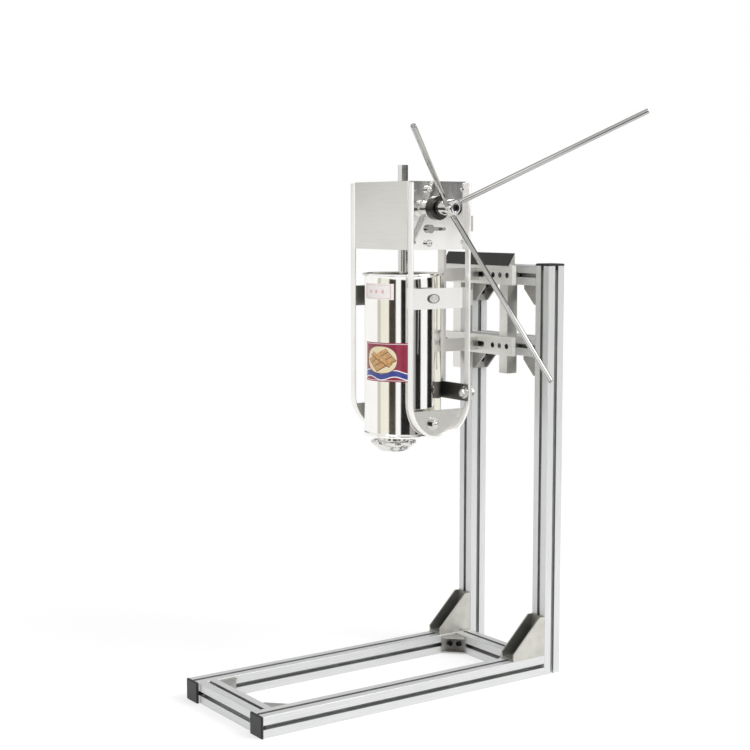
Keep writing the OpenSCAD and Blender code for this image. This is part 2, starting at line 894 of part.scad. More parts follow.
// Flanged bearings; their sleeves pass through the side plates
module shaft_bearings() {
    seat = half_in + side_t;
    color("dimgray") for (side = [0, 1]) translate([press_x, shaft_y, shaft_z])
        mirror([side, 0, 0]) difference() {
            union() {
                rod_x(bearing_flange_r, seat, seat + bearing_flange_t);
                rod_x(bearing_sleeve_r, half_in - bearing_sleeve_in, seat);
            }
            rod_x(shaft_r + run_gap, half_in - bearing_sleeve_in - cut,
                seat + bearing_flange_t + cut);
        }
}

// Involute function, in degrees
function inv(a) = tan(a) * 180 / PI - a;

// Half angle of a pinion tooth at radius r
function tooth_half(r) = half_tooth / pinion_r * 180 / PI
    + inv(press_angle) - inv(acos(min(1, base_r / r)));

// One flank of a pinion tooth as radius and half angle, from root to tip
flank_steps = 6;
function flank() = concat([[pinion_root, tooth_half(base_r)]],
    [for (i = [0:flank_steps])
        let (r = base_r + (pinion_out - base_r) * i / flank_steps) [r, tooth_half(r)]]);

// The pinion's outline, with a tooth space towards the rack
function pinion_points() = [for (k = [0:teeth - 1])
    let (mid = 180 + (k + 0.5) * 360 / teeth, f = flank(), n = len(f))
    for (i = [0:2 * n - 1])
        let (p = i < n ? f[i] : f[2 * n - 1 - i], a = mid + (i < n ? -p[1] : p[1]))
        p[0] * [cos(a), sin(a)]];

module pinion_shaft() {
    seat = half_in + side_t + bearing_flange_t;
    color("silver") translate([press_x, shaft_y, shaft_z]) {
        plate_x(-pinion_half, pinion_half) polygon(pinion_points());
        rod_x(shaft_r, -seat - shaft_far_end, -pinion_half);
        rod_x(shaft_r, pinion_half, hub_x);
        rod_x(spigot_r, hub_x, hub_x + spigot_len);
    }
}

// Saw-toothed wheel: each tooth has its steep face turned clockwise, seen from +X
module ratchet_wheel() {
    step = 360 / ratchet_teeth;
    low = half_in - ratchet_in;
    color("dimgray") translate([press_x, shaft_y, shaft_z]) difference() {
        plate_x(low, low + ratchet_t)
            polygon([for (k = [0:ratchet_teeth - 1], r = [ratchet_root, ratchet_out])
                r * [cos(ratchet_phase + k * step), sin(ratchet_phase + k * step)]]);
        rod_x(shaft_r, low - cut, low + ratchet_t + cut);
    }
}

module pawl() {
    low = half_in - ratchet_in;
    color("dimgray") translate([press_x, pawl_y, pawl_z]) difference() {
        union() {
            rod_x(pawl_boss_r, low, low + ratchet_t);
            rotate([pawl_rest, 0, 0]) plate_x(low, low + ratchet_t)
                polygon([[0, -pawl_low_half - pawl_tip_half],
                    [pawl_len - pawl_taper, -pawl_low_half],
                    [pawl_len, -pawl_tip_half], [pawl_len, pawl_tip_half],
                    [pawl_len - pawl_taper, pawl_root_half], [0, pawl_root_half]]);
        }
        rod_x(pawl_pin_r, low - cut, low + ratchet_t + cut);
    }
}

// Pin through the near side plate, with the release lever on its outer end
module pawl_lever() {
    low = half_in - ratchet_in;
    seat = half_in + side_t + lever_gap;
    top = seat + lever_boss_t;
    color("silver") translate([press_x, pawl_y, pawl_z]) {
        rod_x(pawl_pin_r, low, seat);
        rod_x(lever_boss_r, seat, top);
        block([top - lever_t, 0, -lever_w / 2], [top, lever_len, lever_w / 2]);
        translate([0, lever_len, 0]) rod_x(lever_w / 2, top - lever_t, top + lever_tip_out);
    }
}

// Hub turned from bar, with a screw recess in its face and three slanting holes
module crank_hub() {
    face = hub_x + hub_body_len + hub_head_len;
    color("silver") translate([press_x, shaft_y, shaft_z]) difference() {
        union() {
            rod_x(hub_body_r, hub_x, hub_x + hub_body_len);
            rod_x(hub_head_r, hub_x + hub_body_len, face - hub_edge);
            translate([face - hub_edge, 0, 0]) rotate([0, 90, 0])
                cylinder(r1 = hub_head_r, r2 = hub_head_r - hub_edge, h = hub_edge);
        }
        rod_x(spigot_r, hub_x - cut, hub_x + spigot_len);
        rod_x(m8_r, hub_x, face);
        rod_x(hub_sink_r, face - hub_sink, face + cut);
        for (k = [0:arm_count - 1]) at_arm(k) rod_y(arm_d / 2, arm_start, arm_len);
    }
}

// The frame of crank arm k: its axis is +Y, starting where the arms' axes meet
module at_arm(k) {
    translate([arms_meet, 0, 0]) rotate([arm_phase + k * 360 / arm_count, 0, 0])
        rotate([0, 0, -arm_lean]) children();
}

module crank_arm(k) {
    color("silver") translate([press_x, shaft_y, shaft_z]) at_arm(k) {
        rod_y(arm_d / 2, arm_start, arm_len - arm_edge);
        translate([0, arm_len - arm_edge, 0]) rotate([-90, 0, 0])
            cylinder(r1 = arm_d / 2, r2 = arm_d / 2 - arm_edge, h = arm_edge);
    }
}

module hub_screw() {
    face = hub_x + hub_body_len + hub_head_len - hub_sink;
    color("black") translate([press_x + face, shaft_y, shaft_z]) rotate([0, 90, 0])
        socket_screw(m8_r, face - hub_x - spigot_len, hub_screw_head_r, hub_screw_head_h);
}

// Outline of what is milled away beside the rack's teeth, drawn as Y and Z
function rack_cut_points() =
    let (tip_half = half_tooth - (rack_tip - rack_line) * tan(press_angle),
        root_half = half_tooth + (rack_line - rack_root) * tan(press_angle),
        low = shaft_z - (teeth_below + 0.5) * pitch,
        high = shaft_z + (teeth_above + 0.5) * pitch)
    concat([[rack_r + cut, low], [rack_root, low]],
        [for (k = [-teeth_below:teeth_above])
            let (z = shaft_z + k * pitch)
            each [[rack_root, z - root_half], [rack_tip, z - tip_half],
                [rack_tip, z + tip_half], [rack_root, z + root_half]]],
        [[rack_root, high], [rack_r + cut, high]]);

module rack_rod() {
    color("silver") translate([press_x, press_y, 0]) {
        difference() {
            translate([0, 0, piston_z + piston_t])
                cylinder(r = rack_r, h = rack_top - piston_z - piston_t);
            plate_x(-rack_r - cut, rack_r + cut) polygon(rack_cut_points());
        }
        translate([0, 0, piston_z + stud_lift]) cylinder(r = stud_r, h = piston_t - stud_lift);
        translate([0, 0, piston_z + recess_h - rod_nut_h]) difference() {
            cylinder(r = rod_nut_r, h = rod_nut_h, $fn = 6);
            translate([0, 0, -cut]) cylinder(r = stud_r / 2, h = cut);
        }
    }
}

module piston() {
    r = barrel_bore / 2 - piston_gap;
    groove = piston_t / 2 - seal_h / 2;
    color("whitesmoke") translate([press_x, press_y, piston_z]) difference() {
        rotate_extrude($fn = 96) polygon([[0, 0], [r - piston_edge, 0], [r, piston_edge],
            [r, groove], [r - seal_t, groove], [r - seal_t, groove + seal_h],
            [r, groove + seal_h], [r, piston_t - piston_edge],
            [r - piston_edge, piston_t], [0, piston_t]]);
        translate([0, 0, -cut]) cylinder(r = stud_r, h = piston_t + 2 * cut);
        translate([0, 0, -cut]) cylinder(r = recess_r, h = recess_h + cut);
    }
}

module piston_seal() {
    r = barrel_bore / 2 - piston_gap - seal_t;
    color("white") translate([press_x, press_y, piston_z + piston_t / 2 - seal_h / 2])
        difference() {
            cylinder(r = barrel_bore / 2 - seal_gap, h = seal_h, $fn = 96);
            translate([0, 0, -cut]) cylinder(r = r, h = seal_h + 2 * cut, $fn = 96);
        }
}

// Open-topped barrel with a rolled lip, a base ring and an outlet neck
module barrel() {
    bore_r = barrel_bore / 2;
    top = barrel_top;
    color("whitesmoke") translate([press_x, press_y, 0]) difference() {
        union() {
            translate([0, 0, barrel_z]) cylinder(r = barrel_r, h = barrel_h, $fn = 96);
            translate([0, 0, barrel_z]) cylinder(r = barrel_r + ring_t, h = ring_h, $fn = 96);
            translate([0, 0, top - lip_h])
                cylinder(r1 = barrel_r, r2 = lip_r, h = lip_h - lip_roll, $fn = 96);
            translate([0, 0, top - lip_roll]) cylinder(r = lip_r, h = lip_roll, $fn = 96);
            translate([0, -outlet_front, barrel_z - neck_h])
                cylinder(r = outlet_bore / 2 + neck_wall, h = neck_h + barrel_floor);
        }
        translate([0, 0, barrel_z + barrel_floor])
            cylinder(r = bore_r, h = barrel_h, $fn = 96);
        translate([0, 0, top - lip_h + barrel_wall])
            cylinder(r1 = bore_r, r2 = lip_r - barrel_wall, h = lip_h - barrel_wall, $fn = 96);
        translate([0, -outlet_front, barrel_z - neck_h - cut])
            cylinder(r = outlet_bore / 2, h = neck_h + barrel_floor + 2 * cut);
    }
}

// Tapered ring nut with hand grips cut round its edge
module nozzle_nut() {
    neck_r = outlet_bore / 2 + neck_wall;
    wide = nut_w / 2;
    color("silver") translate([press_x, outlet_y, nut_top - nut_h]) difference() {
        cylinder(r1 = nut_low_r, r2 = wide, h = nut_h, $fn = 96);
        translate([0, 0, nut_lip]) cylinder(r = neck_r + neck_gap, h = nut_h);
        translate([0, 0, -cut]) cylinder(r = nut_mouth_r, h = nut_h);
        for (k = [0:nut_grips - 1]) rotate((k + 0.5) * 360 / nut_grips)
            translate([wide + grip_out, 0, -cut]) cylinder(r = grip_r, h = nut_h + 2 * cut);
    }
}

// Die plate with the star that shapes the dough
module nozzle_die() {
    color("gainsboro") translate([press_x, outlet_y, die_z]) linear_extrude(die_t) difference() {
        circle(outlet_bore / 2 + neck_wall);
        polygon([for (k = [0:2 * die_points - 1])
            let (r = die_star_r * (k % 2 == 0 ? 1 : die_star_in_share))
            r * [cos(k * 180 / die_points), sin(k * 180 / die_points)]]);
    }
}

base_rail(1);  // base_rail_near
base_rail(-1);  // base_rail_far
base_cross_rail(front_rail_y);  // front_cross_rail
base_cross_rail(rear_rail_y);  // rear_cross_rail
upright(1);  // upright_near
upright(-1);  // upright_far
cross_rail(upper_rail_z);  // upper_cross_rail
cross_rail(lower_rail_z);  // lower_cross_rail
end_caps();
base_gussets();
corner_brackets();
bracket_screws();
slot_nuts();
mount_plate(upper_rail_z);  // upper_mount_plate
mount_plate(lower_rail_z);  // lower_mount_plate
spacer_tubes();
mount_bolts();
top_guard();
support_arms();
arm_bolts();
rear_post();
rear_bars();
stop_bar();
frame_bolts();
loop(1);  // loop_near
loop(-1);  // loop_far
mid_plate(1);  // mid_plate_near
mid_plate(-1);  // mid_plate_far
plate_stud();
trunnion_plate(1);  // trunnion_plate_near
trunnion_plate(-1);  // trunnion_plate_far
trunnion_pins();
trunnion_nuts();
side_plate(1);  // side_plate_near
side_plate(-1);  // side_plate_far
sheet_cover(-1);  // front_cover
sheet_cover(1);  // rear_cover
flat_cover(housing_z + housing_h - cover_t);  // top_cover
flat_cover(housing_z);  // bottom_cover
cover_screws();
guide(housing_z + guide_up_z);  // upper_guide
guide(housing_z + guide_low_z);  // lower_guide
guide_bushes();
guide_bolts();
shaft_bearings();
pinion_shaft();
ratchet_wheel();
crank_hub();
crank_arm(0);  // crank_arm_1
crank_arm(1);  // crank_arm_2
crank_arm(2);  // crank_arm_3
hub_screw();
pawl();
pawl_lever();
rack_rod();
piston();
piston_seal();
barrel();
nozzle_nut();
nozzle_die();
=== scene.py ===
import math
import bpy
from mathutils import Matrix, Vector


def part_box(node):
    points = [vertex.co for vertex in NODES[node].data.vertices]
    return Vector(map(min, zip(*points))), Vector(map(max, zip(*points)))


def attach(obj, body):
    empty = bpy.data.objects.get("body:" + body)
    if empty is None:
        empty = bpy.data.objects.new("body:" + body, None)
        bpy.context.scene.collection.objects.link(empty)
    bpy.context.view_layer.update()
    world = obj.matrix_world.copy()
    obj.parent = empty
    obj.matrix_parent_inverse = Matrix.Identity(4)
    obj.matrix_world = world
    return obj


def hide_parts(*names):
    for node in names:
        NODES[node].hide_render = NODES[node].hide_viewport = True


bl_info = {
    "name": "Churro Maker",
    "version": (1, 0, 0),
    "blender": (4, 5, 0),
    "location": "View3D > Sidebar > Churro Maker",
    "description": "Models and finishes a hand-cranked churro press on its profile stand",
    "category": "Object",
}

import bmesh
import bpy
from bpy.props import FloatProperty, FloatVectorProperty, IntProperty, PointerProperty
from mathutils import Vector

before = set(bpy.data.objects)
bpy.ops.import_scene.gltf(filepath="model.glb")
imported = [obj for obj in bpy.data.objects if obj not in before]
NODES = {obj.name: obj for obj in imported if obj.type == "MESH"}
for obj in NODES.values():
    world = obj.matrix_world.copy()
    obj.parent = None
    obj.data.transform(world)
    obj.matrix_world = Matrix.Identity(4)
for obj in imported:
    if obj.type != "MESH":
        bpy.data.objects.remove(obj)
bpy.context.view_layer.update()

MM = 0.001
GUSSET_WIDTH = 38 * MM
# Width, height, height of the lower edge and turn from the front
SMALL_LABEL = (78 * MM, 31 * MM, 758.5 * MM, math.radians(11.5))
BARREL_LOW, BARREL_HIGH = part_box("barrel")
PISTON_LOW, PISTON_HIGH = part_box("piston")
AXIS = (PISTON_LOW + PISTON_HIGH) / 2
SHAFT_LOW, SHAFT_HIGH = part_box("crank_hub")
SHAFT = Vector((AXIS.x, (SHAFT_LOW.y + SHAFT_HIGH.y) / 2, (SHAFT_LOW.z + SHAFT_HIGH.z) / 2))


class ChurroMakerSettings(bpy.types.PropertyGroup):
    """Sizes and colours of the churro maker"""
    barrel_radius: FloatProperty(
        name="Barrel radius", description="Outside radius of the barrel's wall",
        default=76 * MM, unit="LENGTH")
    barrel_wall: FloatProperty(
        name="Barrel wall", description="Thickness of the barrel's wall",
        default=2 * MM, unit="LENGTH")
    lip_radius: FloatProperty(
        name="Lip radius", description="Outside radius of the rolled lip",
        default=(BARREL_HIGH.x - BARREL_LOW.x) / 2, unit="LENGTH")
    strip_thickness: FloatProperty(
        name="Strip thickness", description="Thickness of the loops' flat strip",
        default=4 * MM, unit="LENGTH")
    strip_round: FloatProperty(
        name="Strip edge", description="Rounding of the loops' edges",
        default=1.8 * MM, unit="LENGTH")
    arm_radius: FloatProperty(
        name="Arm radius", description="Radius of a crank arm",
        default=5 * MM, unit="LENGTH")
    arm_length: FloatProperty(
        name="Arm length", description="Length of an arm from the point where the arms' axes meet",
        default=412 * MM, unit="LENGTH")
    arm_meet: FloatProperty(
        name="Arm meeting point",
        description="Distance of that point from the press's middle plane",
        default=127 * MM, unit="LENGTH")
    arm_lean: FloatProperty(
        name="Arm lean", description="Angle by which the arms lean outwards",
        default=math.radians(41), subtype="ANGLE")
    arm_phase: FloatProperty(
        name="Arm phase", description="Turn of the first arm from the rear towards the top",
        default=math.radians(34.8), subtype="ANGLE")
    cover_fold: FloatProperty(
        name="Cover fold", description="Bending radius of the front cover's edges",
        default=1.6 * MM, unit="LENGTH")
    label_width: FloatProperty(
        name="Picture label width", description="Width of the picture label round the barrel",
        default=103 * MM, unit="LENGTH")
    label_height: FloatProperty(
        name="Picture label height", description="Height of the picture label",
        default=76 * MM, unit="LENGTH")
    label_foot: FloatProperty(
        name="Picture label foot", description="Height of the picture label's lower edge",
        default=599 * MM, unit="LENGTH")
    label_turn: FloatProperty(
        name="Picture label turn", description="Turn of the picture label from the front",
        default=math.radians(26), subtype="ANGLE")
    grips: IntProperty(
        name="Nut grips", description="Number of hollows round the nozzle nut", default=8)
    steel_colour: FloatVectorProperty(
        name="Steel", description="Colour of the satin steel", subtype="COLOR",
        size=3, default=(0.76, 0.75, 0.71), min=0, max=1)
    polish_colour: FloatVectorProperty(
        name="Polished steel", description="Colour of the polished steel", subtype="COLOR",
        size=3, default=(0.94, 0.93, 0.905), min=0, max=1)
    aluminium_colour: FloatVectorProperty(
        name="Aluminium", description="Colour of the anodised profile", subtype="COLOR",
        size=3, default=(0.67, 0.677, 0.672), min=0, max=1)
    label_colour: FloatVectorProperty(
        name="Label ground", description="Ground colour of the picture label",
        subtype="COLOR", size=3, default=(0.27, 0.014, 0.05), min=0, max=1)


# Modelling helpers

def start():
    """Object mode with nothing selected."""
    if bpy.context.object and bpy.context.object.mode != "OBJECT":
        bpy.ops.object.mode_set(mode="OBJECT")
    bpy.ops.object.select_all(action="DESELECT")


def take(*pieces):
    """Selects just these pieces, with the first one active."""
    start()
    for piece in pieces:
        piece.select_set(True)
    bpy.context.view_layer.objects.active = pieces[0]


def edit(kind="FACE"):
    """Edit mode on the active object, with nothing selected."""
    bpy.ops.object.mode_set(mode="EDIT")
    bpy.ops.mesh.select_mode(type=kind)
    bpy.ops.mesh.select_all(action="DESELECT")


def pick_faces(test):
    """Selects the faces whose centre and normal pass the test."""
    mesh = bmesh.from_edit_mesh(bpy.context.object.data)
    for face in mesh.faces:
        face.select = bool(test(face.calc_center_median(), face.normal))
    mesh.select_flush_mode()
    bmesh.update_edit_mesh(bpy.context.object.data)


def pick_edges(test):
    """Selects the edges whose two ends pass the test."""
    mesh = bmesh.from_edit_mesh(bpy.context.object.data)
    for edge in mesh.edges:
        edge.select = bool(test(edge.verts[0].co, edge.verts[1].co))
    mesh.select_flush_mode()
    bmesh.update_edit_mesh(bpy.context.object.data)


def bake():
    """Puts the active piece's place, turn and size into its mesh."""
    bpy.ops.object.transform_apply(location=True, rotation=True, scale=True)


def close_mesh():
    """Joins doubled points, turns the normals outwards and leaves edit mode."""
    bpy.ops.mesh.select_all(action="SELECT")
    bpy.ops.mesh.remove_doubles(threshold=1e-6)
    bpy.ops.mesh.normals_make_consistent(inside=False)
    bpy.ops.object.mode_set(mode="OBJECT")


def apply_modifiers(obj):
    """Applies all modifiers of the active piece."""
    for modifier in list(obj.modifiers):
        bpy.ops.object.modifier_apply(modifier=modifier.name)


def round_edges(obj, width, segments=3, angle=35):
    """Bevels the edges that are sharper than an angle in degrees."""
    bevel = obj.modifiers.new("edges", "BEVEL")
    bevel.width = width
    bevel.segments = segments
    bevel.limit_method = "ANGLE"
    bevel.angle_limit = math.radians(angle)
    apply_modifiers(obj)


def settle(name, body, finish, replaces=(), smooth=35):
    """Names the active piece, bakes its place into its mesh and fixes it to its body."""
    obj = bpy.context.object
    if obj.mode != "OBJECT":
        bpy.ops.object.mode_set(mode="OBJECT")
    bake()
    bpy.ops.object.shade_smooth_by_angle(angle=math.radians(smooth))
    obj.name = obj.data.name = name
    obj.data.materials.clear()
    obj.data.materials.append(finish)
    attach(obj, body)
    if replaces:
        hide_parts(*replaces)
    obj.select_set(False)


def lathe(outline, centre, segments, axis="Z"):
    """Turns a closed outline of (radius, distance along the axis) round the axis."""
    start()
    radius, along = outline[0]
    bpy.ops.mesh.primitive_circle_add(vertices=segments, radius=radius, location=(0, 0, 0))
    edit("VERT")
    bpy.ops.mesh.select_all(action="SELECT")
    bpy.ops.transform.translate(value=(0, 0, along))
    for next_radius, next_along in outline[1:]:
        bpy.ops.mesh.extrude_region_move(
            TRANSFORM_OT_translate={"value": (0, 0, next_along - along)})
        factor = next_radius / radius
        bpy.ops.transform.resize(
            value=(factor, factor, 1), center_override=(0, 0, next_along))
        radius, along = next_radius, next_along
    close_mesh()
    obj = bpy.context.object
    if axis == "X":
        obj.rotation_euler = (0, math.pi / 2, 0)
    obj.location = centre
    bake()
    return obj


def rod(foot, tip, radius, edge):
    """A round bar between two points, with broken edges at its ends."""
    start()
    along = tip - foot
    bpy.ops.mesh.primitive_cylinder_add(
        vertices=64, radius=radius, depth=along.length, location=(foot + tip) / 2,
        rotation=along.to_track_quat("Z", "Y").to_euler())
    bake()
    round_edges(bpy.context.object, edge, angle=60)


# Material helpers

def settings():
    """The sizes and colours that the user can change."""
    return bpy.context.scene.churro_maker


def shade(colour, factor):
    return tuple(min(1, channel * factor) for channel in colour)


class Nodes:
    """A node tree under construction, with short calls for the usual nodes."""

    def __init__(self, tree):
        self.tree = tree

    def add(self, kind, **inputs):
        """A new node, with plain values for the inputs named."""
        node = self.tree.nodes.new("ShaderNode" + kind)
        for name, value in inputs.items():
            node.inputs[name.replace("_", " ")].default_value = value
        return node

    def link(self, source, target):
        """Joins an output to an input, or gives the input a plain value."""
        if hasattr(source, "is_output"):
            self.tree.links.new(source, target)
        else:
            target.default_value = source

    def calc(self, kind, a, b=0.0):
        node = self.add("Math")
        node.operation = kind
        self.link(a, node.inputs[0])
        self.link(b, node.inputs[1])
        return node.outputs[0]

    def plus(self, a, b):
        return self.calc("ADD", a, b)

    def minus(self, a, b):
        return self.calc("SUBTRACT", a, b)

    def times(self, a, b):
        return self.calc("MULTIPLY", a, b)

    def below(self, a, b):
        return self.calc("LESS_THAN", a, b)

    def away(self, value, middle):
        """How far the value is from the middle one."""
        return self.calc("ABSOLUTE", self.minus(value, middle))

    def inside(self, value, low, high):
        """1 where the value lies between low and high."""
        return self.below(self.away(value, (low + high) / 2), (high - low) / 2)

    def oval(self, spans, power):
        """Below 1 inside an oval, from (value, middle, half size) along each axis."""
        return self.plus(*(self.calc("POWER", self.calc("DIVIDE", self.away(value, middle), half),
                                     power) for value, middle, half in spans))

    def mix(self, share, a, b):
        """A colour between a and b."""
        node = self.add("Mix")
        node.data_type = "RGBA"
        self.link(share, node.inputs[0])
        for socket, colour in ((node.inputs[6], a), (node.inputs[7], b)):
            self.link(colour if hasattr(colour, "is_output") else (*colour, 1), socket)
        return node.outputs[2]


class Finish(Nodes):
    """A material under construction."""

    def __init__(self, name, colour, metallic, roughness):
        self.material = bpy.data.materials.new(name)
        self.material.use_nodes = True
        super().__init__(self.material.node_tree)
        self.colour = tuple(colour)
        self.shader = self.tree.nodes["Principled BSDF"]
        self.put("Base Color", (*self.colour, 1))
        self.put("Metallic", metallic)
        self.put("Roughness", roughness)
        self.coords = self.add("TexCoord")

    def put(self, name, value):
        """An output or a plain value for one of the shader's inputs."""
        self.link(value, self.shader.inputs[name])

    def axes(self, kind):
        """The three outputs of a set of coordinates."""
        split = self.add("SeparateXYZ")
        self.link(self.coords.outputs[kind], split.inputs[0])
        return split.outputs

    def noise(self, scale, stretch=(1, 1, 1), detail=4, rough=0.6):
        """Noise on the piece's own place, drawn out by the inverse of stretch."""
        mapping = self.add("Mapping", Scale=stretch)
        self.link(self.coords.outputs["Object"], mapping.inputs["Vector"])
        noise = self.add("TexNoise", Scale=scale, Detail=detail, Roughness=rough)
        self.link(mapping.outputs["Vector"], noise.inputs["Vector"])
        return noise.outputs["Fac"]

    def spread(self, value, low=0.3, high=0.7, out_low=0, out_high=1):
        """Maps a value from one range to another, clamped."""
        node = self.add("MapRange", From_Min=low, From_Max=high, To_Min=out_low, To_Max=out_high)
        self.link(value, node.inputs["Value"])
        return node.outputs["Result"]

    def waver(self, pattern, dark, light):
        """Lets the colour waver between two shades of itself."""
        return self.mix(self.spread(pattern), shade(self.colour, dark), shade(self.colour, light))

    def bump(self, height, strength, distance):
        node = self.add("Bump", Strength=strength, Distance=distance)
        self.link(height, node.inputs["Height"])
        self.put("Normal", node.outputs["Normal"])


# Stretch of a grain that runs along one axis
LONG = {"X": (0.012, 1, 1), "Y": (1, 0.012, 1), "Z": (1, 1, 0.012)}


def drawn_aluminium(axis):
    """Anodised profile with fine die lines along it."""
    finish = Finish("drawn_aluminium_" + axis, settings().aluminium_colour, 0.5, 0.34)
    lines = finish.noise(900, LONG[axis], 3)
    finish.put("Base Color", finish.waver(lines, 0.90, 1.08))
    finish.put("Roughness", finish.spread(finish.noise(9), 0.35, 0.65, 0.30, 0.40))
    finish.bump(lines, 0.12, 0.0002)
    return finish.material


def satin_steel(axis, name="satin_steel_", tone=1.0, rough=0.30, shine=1.0):
    """Stainless sheet with a ground grain along one axis."""
    finish = Finish(name + axis, shade(settings().steel_colour, tone), shine, rough)
    grain = finish.noise(1400, LONG[axis], 4, 0.7)
    finish.put("Base Color", finish.waver(grain, 0.94, 1.05))
    finish.put("Roughness", finish.spread(finish.noise(14), 0.3, 0.7, rough - 0.04, rough + 0.08))
    finish.bump(grain, 0.08, 0.0002)
    return finish.material


def polished_steel(name, tone=1.0, rough=0.07, axis="Z", shine=1.0):
    """Buffed stainless with wiping marks and hairlines."""
    finish = Finish(name, shade(settings().polish_colour, tone), shine, rough)
    wipes = finish.noise(22, (1, 1, 0.4), 5)
    finish.put("Base Color", finish.waver(wipes, 0.94, 1.04))
    finish.put("Roughness", finish.spread(wipes, 0.35, 0.75, rough, rough + 0.07))
    finish.bump(finish.noise(1100, LONG[axis], 2), 0.03, 0.0001)
    return finish.material


def moulded_plastic(name, colour, rough, grain=700):
    """Plastic or rubber with a fine moulded skin."""
    finish = Finish(name, colour, 0, rough)
    skin = finish.noise(grain, (1, 1, 1), 3)
    finish.put("Base Color", finish.waver(finish.noise(30), 0.85, 1.15))
    finish.put("Roughness", finish.spread(skin, 0.3, 0.7, rough - 0.06, rough + 0.10))
    finish.bump(skin, 0.18, 0.0002)
    return finish.material


def metal(name, colour, rough, grain, bump):
    """Cast, blackened or turned metal with a fine even grain."""
    finish = Finish(name, colour, 1, rough)
    skin = finish.noise(grain, (1, 1, 1), 5, 0.7)
    finish.put("Base Color", finish.waver(finish.noise(26), 0.86, 1.10))
    finish.put("Roughness", finish.spread(skin, 0.3, 0.7, rough - 0.07, rough + 0.09))
    finish.bump(skin, bump, 0.0003)
    return finish.material


def stud_steel():
    """Dull pressed steel with a dark line round the stud's rim."""
    finish = Finish("stud_steel", settings().polish_colour, 1, 0.14)
    low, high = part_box("plate_stud")
    middle, half = (low + high) / 2, (high - low) / 2
    place = finish.axes("Object")
    reach = finish.calc("SQRT", finish.oval(
        [(place[axis], middle[axis], half[axis]) for axis in (1, 2)], 2.0))
    rim = finish.mix(finish.noise(300), (0.05, 0.05, 0.05), (0.16, 0.155, 0.15))
    cloud = finish.spread(finish.noise(260), 0.45, 0.6)
    field = finish.mix(cloud, shade(finish.colour, 0.80), shade(finish.colour, 1.02))
    finish.put("Base Color", finish.mix(finish.inside(reach, 0.85, 1.3), field, rim))
    finish.put("Roughness", finish.spread(finish.noise(300), 0.3, 0.7, 0.26, 0.40))
    return finish.material


def picture_print():
    """A plain printed design: ridged pastry sticks on a cream oval over a waving ribbon."""
    finish = Finish("picture_print", settings().label_colour, 0, 0.32)
    across, up = finish.axes("UV")[:2]
    blue, cream, white = (0.035, 0.05, 0.26), (0.78, 0.66, 0.44), (0.86, 0.83, 0.82)
    outline, shadow = (0.13, 0.06, 0.03), (0.20, 0.09, 0.04)
    groove, crest, sugar = (0.22, 0.075, 0.012), (0.66, 0.33, 0.07), (0.86, 0.72, 0.50)
    colour = finish.waver(finish.noise(40), 0.86, 1.12)

    wave = finish.times(finish.calc("SINE", finish.times(across, 11.0)), 0.045)
    height = finish.minus(up, wave)
    colour = finish.mix(finish.inside(height, 0.075, 0.265), colour, white)
    colour = finish.mix(finish.inside(height, 0.100, 0.240), colour, blue)

    middle_x, middle_y = 0.42, 0.56
    reach = finish.oval([(across, middle_x, 0.33), (up, middle_y, 0.34)], 2.4)
    colour = finish.mix(finish.below(reach, 1.14), colour, outline)
    colour = finish.mix(finish.below(reach, 1.0), colour, cream)

    x, y = finish.minus(across, middle_x), finish.minus(up, middle_y)
    crumbs = finish.spread(finish.noise(260, (1, 1, 1), 3), 0.4, 0.6)
    for turn, offset in ((0.62, -0.13), (0.62, 0.0), (0.62, 0.13), (-0.62, 0.02)):
        c, s = math.cos(turn), math.sin(turn)
        along = finish.plus(finish.times(x, c), finish.times(y, s))
        side = finish.minus(finish.minus(finish.times(y, c), finish.times(x, s)), offset)
        ridge = finish.calc("ABSOLUTE", finish.calc("SINE", finish.times(side, 95.0)))
        crust = finish.mix(finish.times(crumbs, 0.35), finish.mix(ridge, groove, crest), sugar)
        for length, low, high, paint in ((0.26, -0.075, 0.05, shadow), (0.25, -0.05, 0.05, crust)):
            stick = finish.times(finish.inside(along, -length, length),
                                 finish.inside(side, low, high))
            colour = finish.mix(stick, colour, paint)

    edge = finish.calc("MAXIMUM", finish.away(across, 0.5), finish.away(up, 0.5))
    colour = finish.mix(finish.inside(edge, 0.462, 0.474), colour, white)
    finish.put("Base Color", colour)
    finish.put("Roughness", finish.spread(finish.noise(60), 0.3, 0.7, 0.26, 0.38))
    finish.put("Coat Weight", 0.35)
    finish.put("Coat Roughness", 0.12)
    return finish.material


def small_print():
    """A pale sticker with a thin rose frame and three rose lozenges."""
    finish = Finish("small_print", (0.84, 0.81, 0.79), 0, 0.45)
    across, up = finish.axes("UV")[:2]
    rose = (0.76, 0.42, 0.42)
    paper = finish.mix(finish.spread(finish.noise(300)), (0.80, 0.76, 0.74), (0.88, 0.85, 0.83))
    edge = finish.calc("MAXIMUM", finish.away(across, 0.5), finish.away(up, 0.5))
    colour = finish.mix(finish.inside(edge, 0.400, 0.425), paper, rose)
    column = finish.away(finish.calc("FRACT", finish.times(across, 5.0)), 0.5)
    row = finish.times(finish.away(up, 0.5), 1.6)
    lozenges = finish.times(finish.below(finish.plus(column, row), 0.24),
                            finish.inside(across, 0.2, 0.8))
    finish.put("Base Color", finish.mix(lozenges, colour, rose))
    finish.put("Roughness", finish.spread(finish.noise(200), 0.3, 0.7, 0.40, 0.52))
    return finish.material


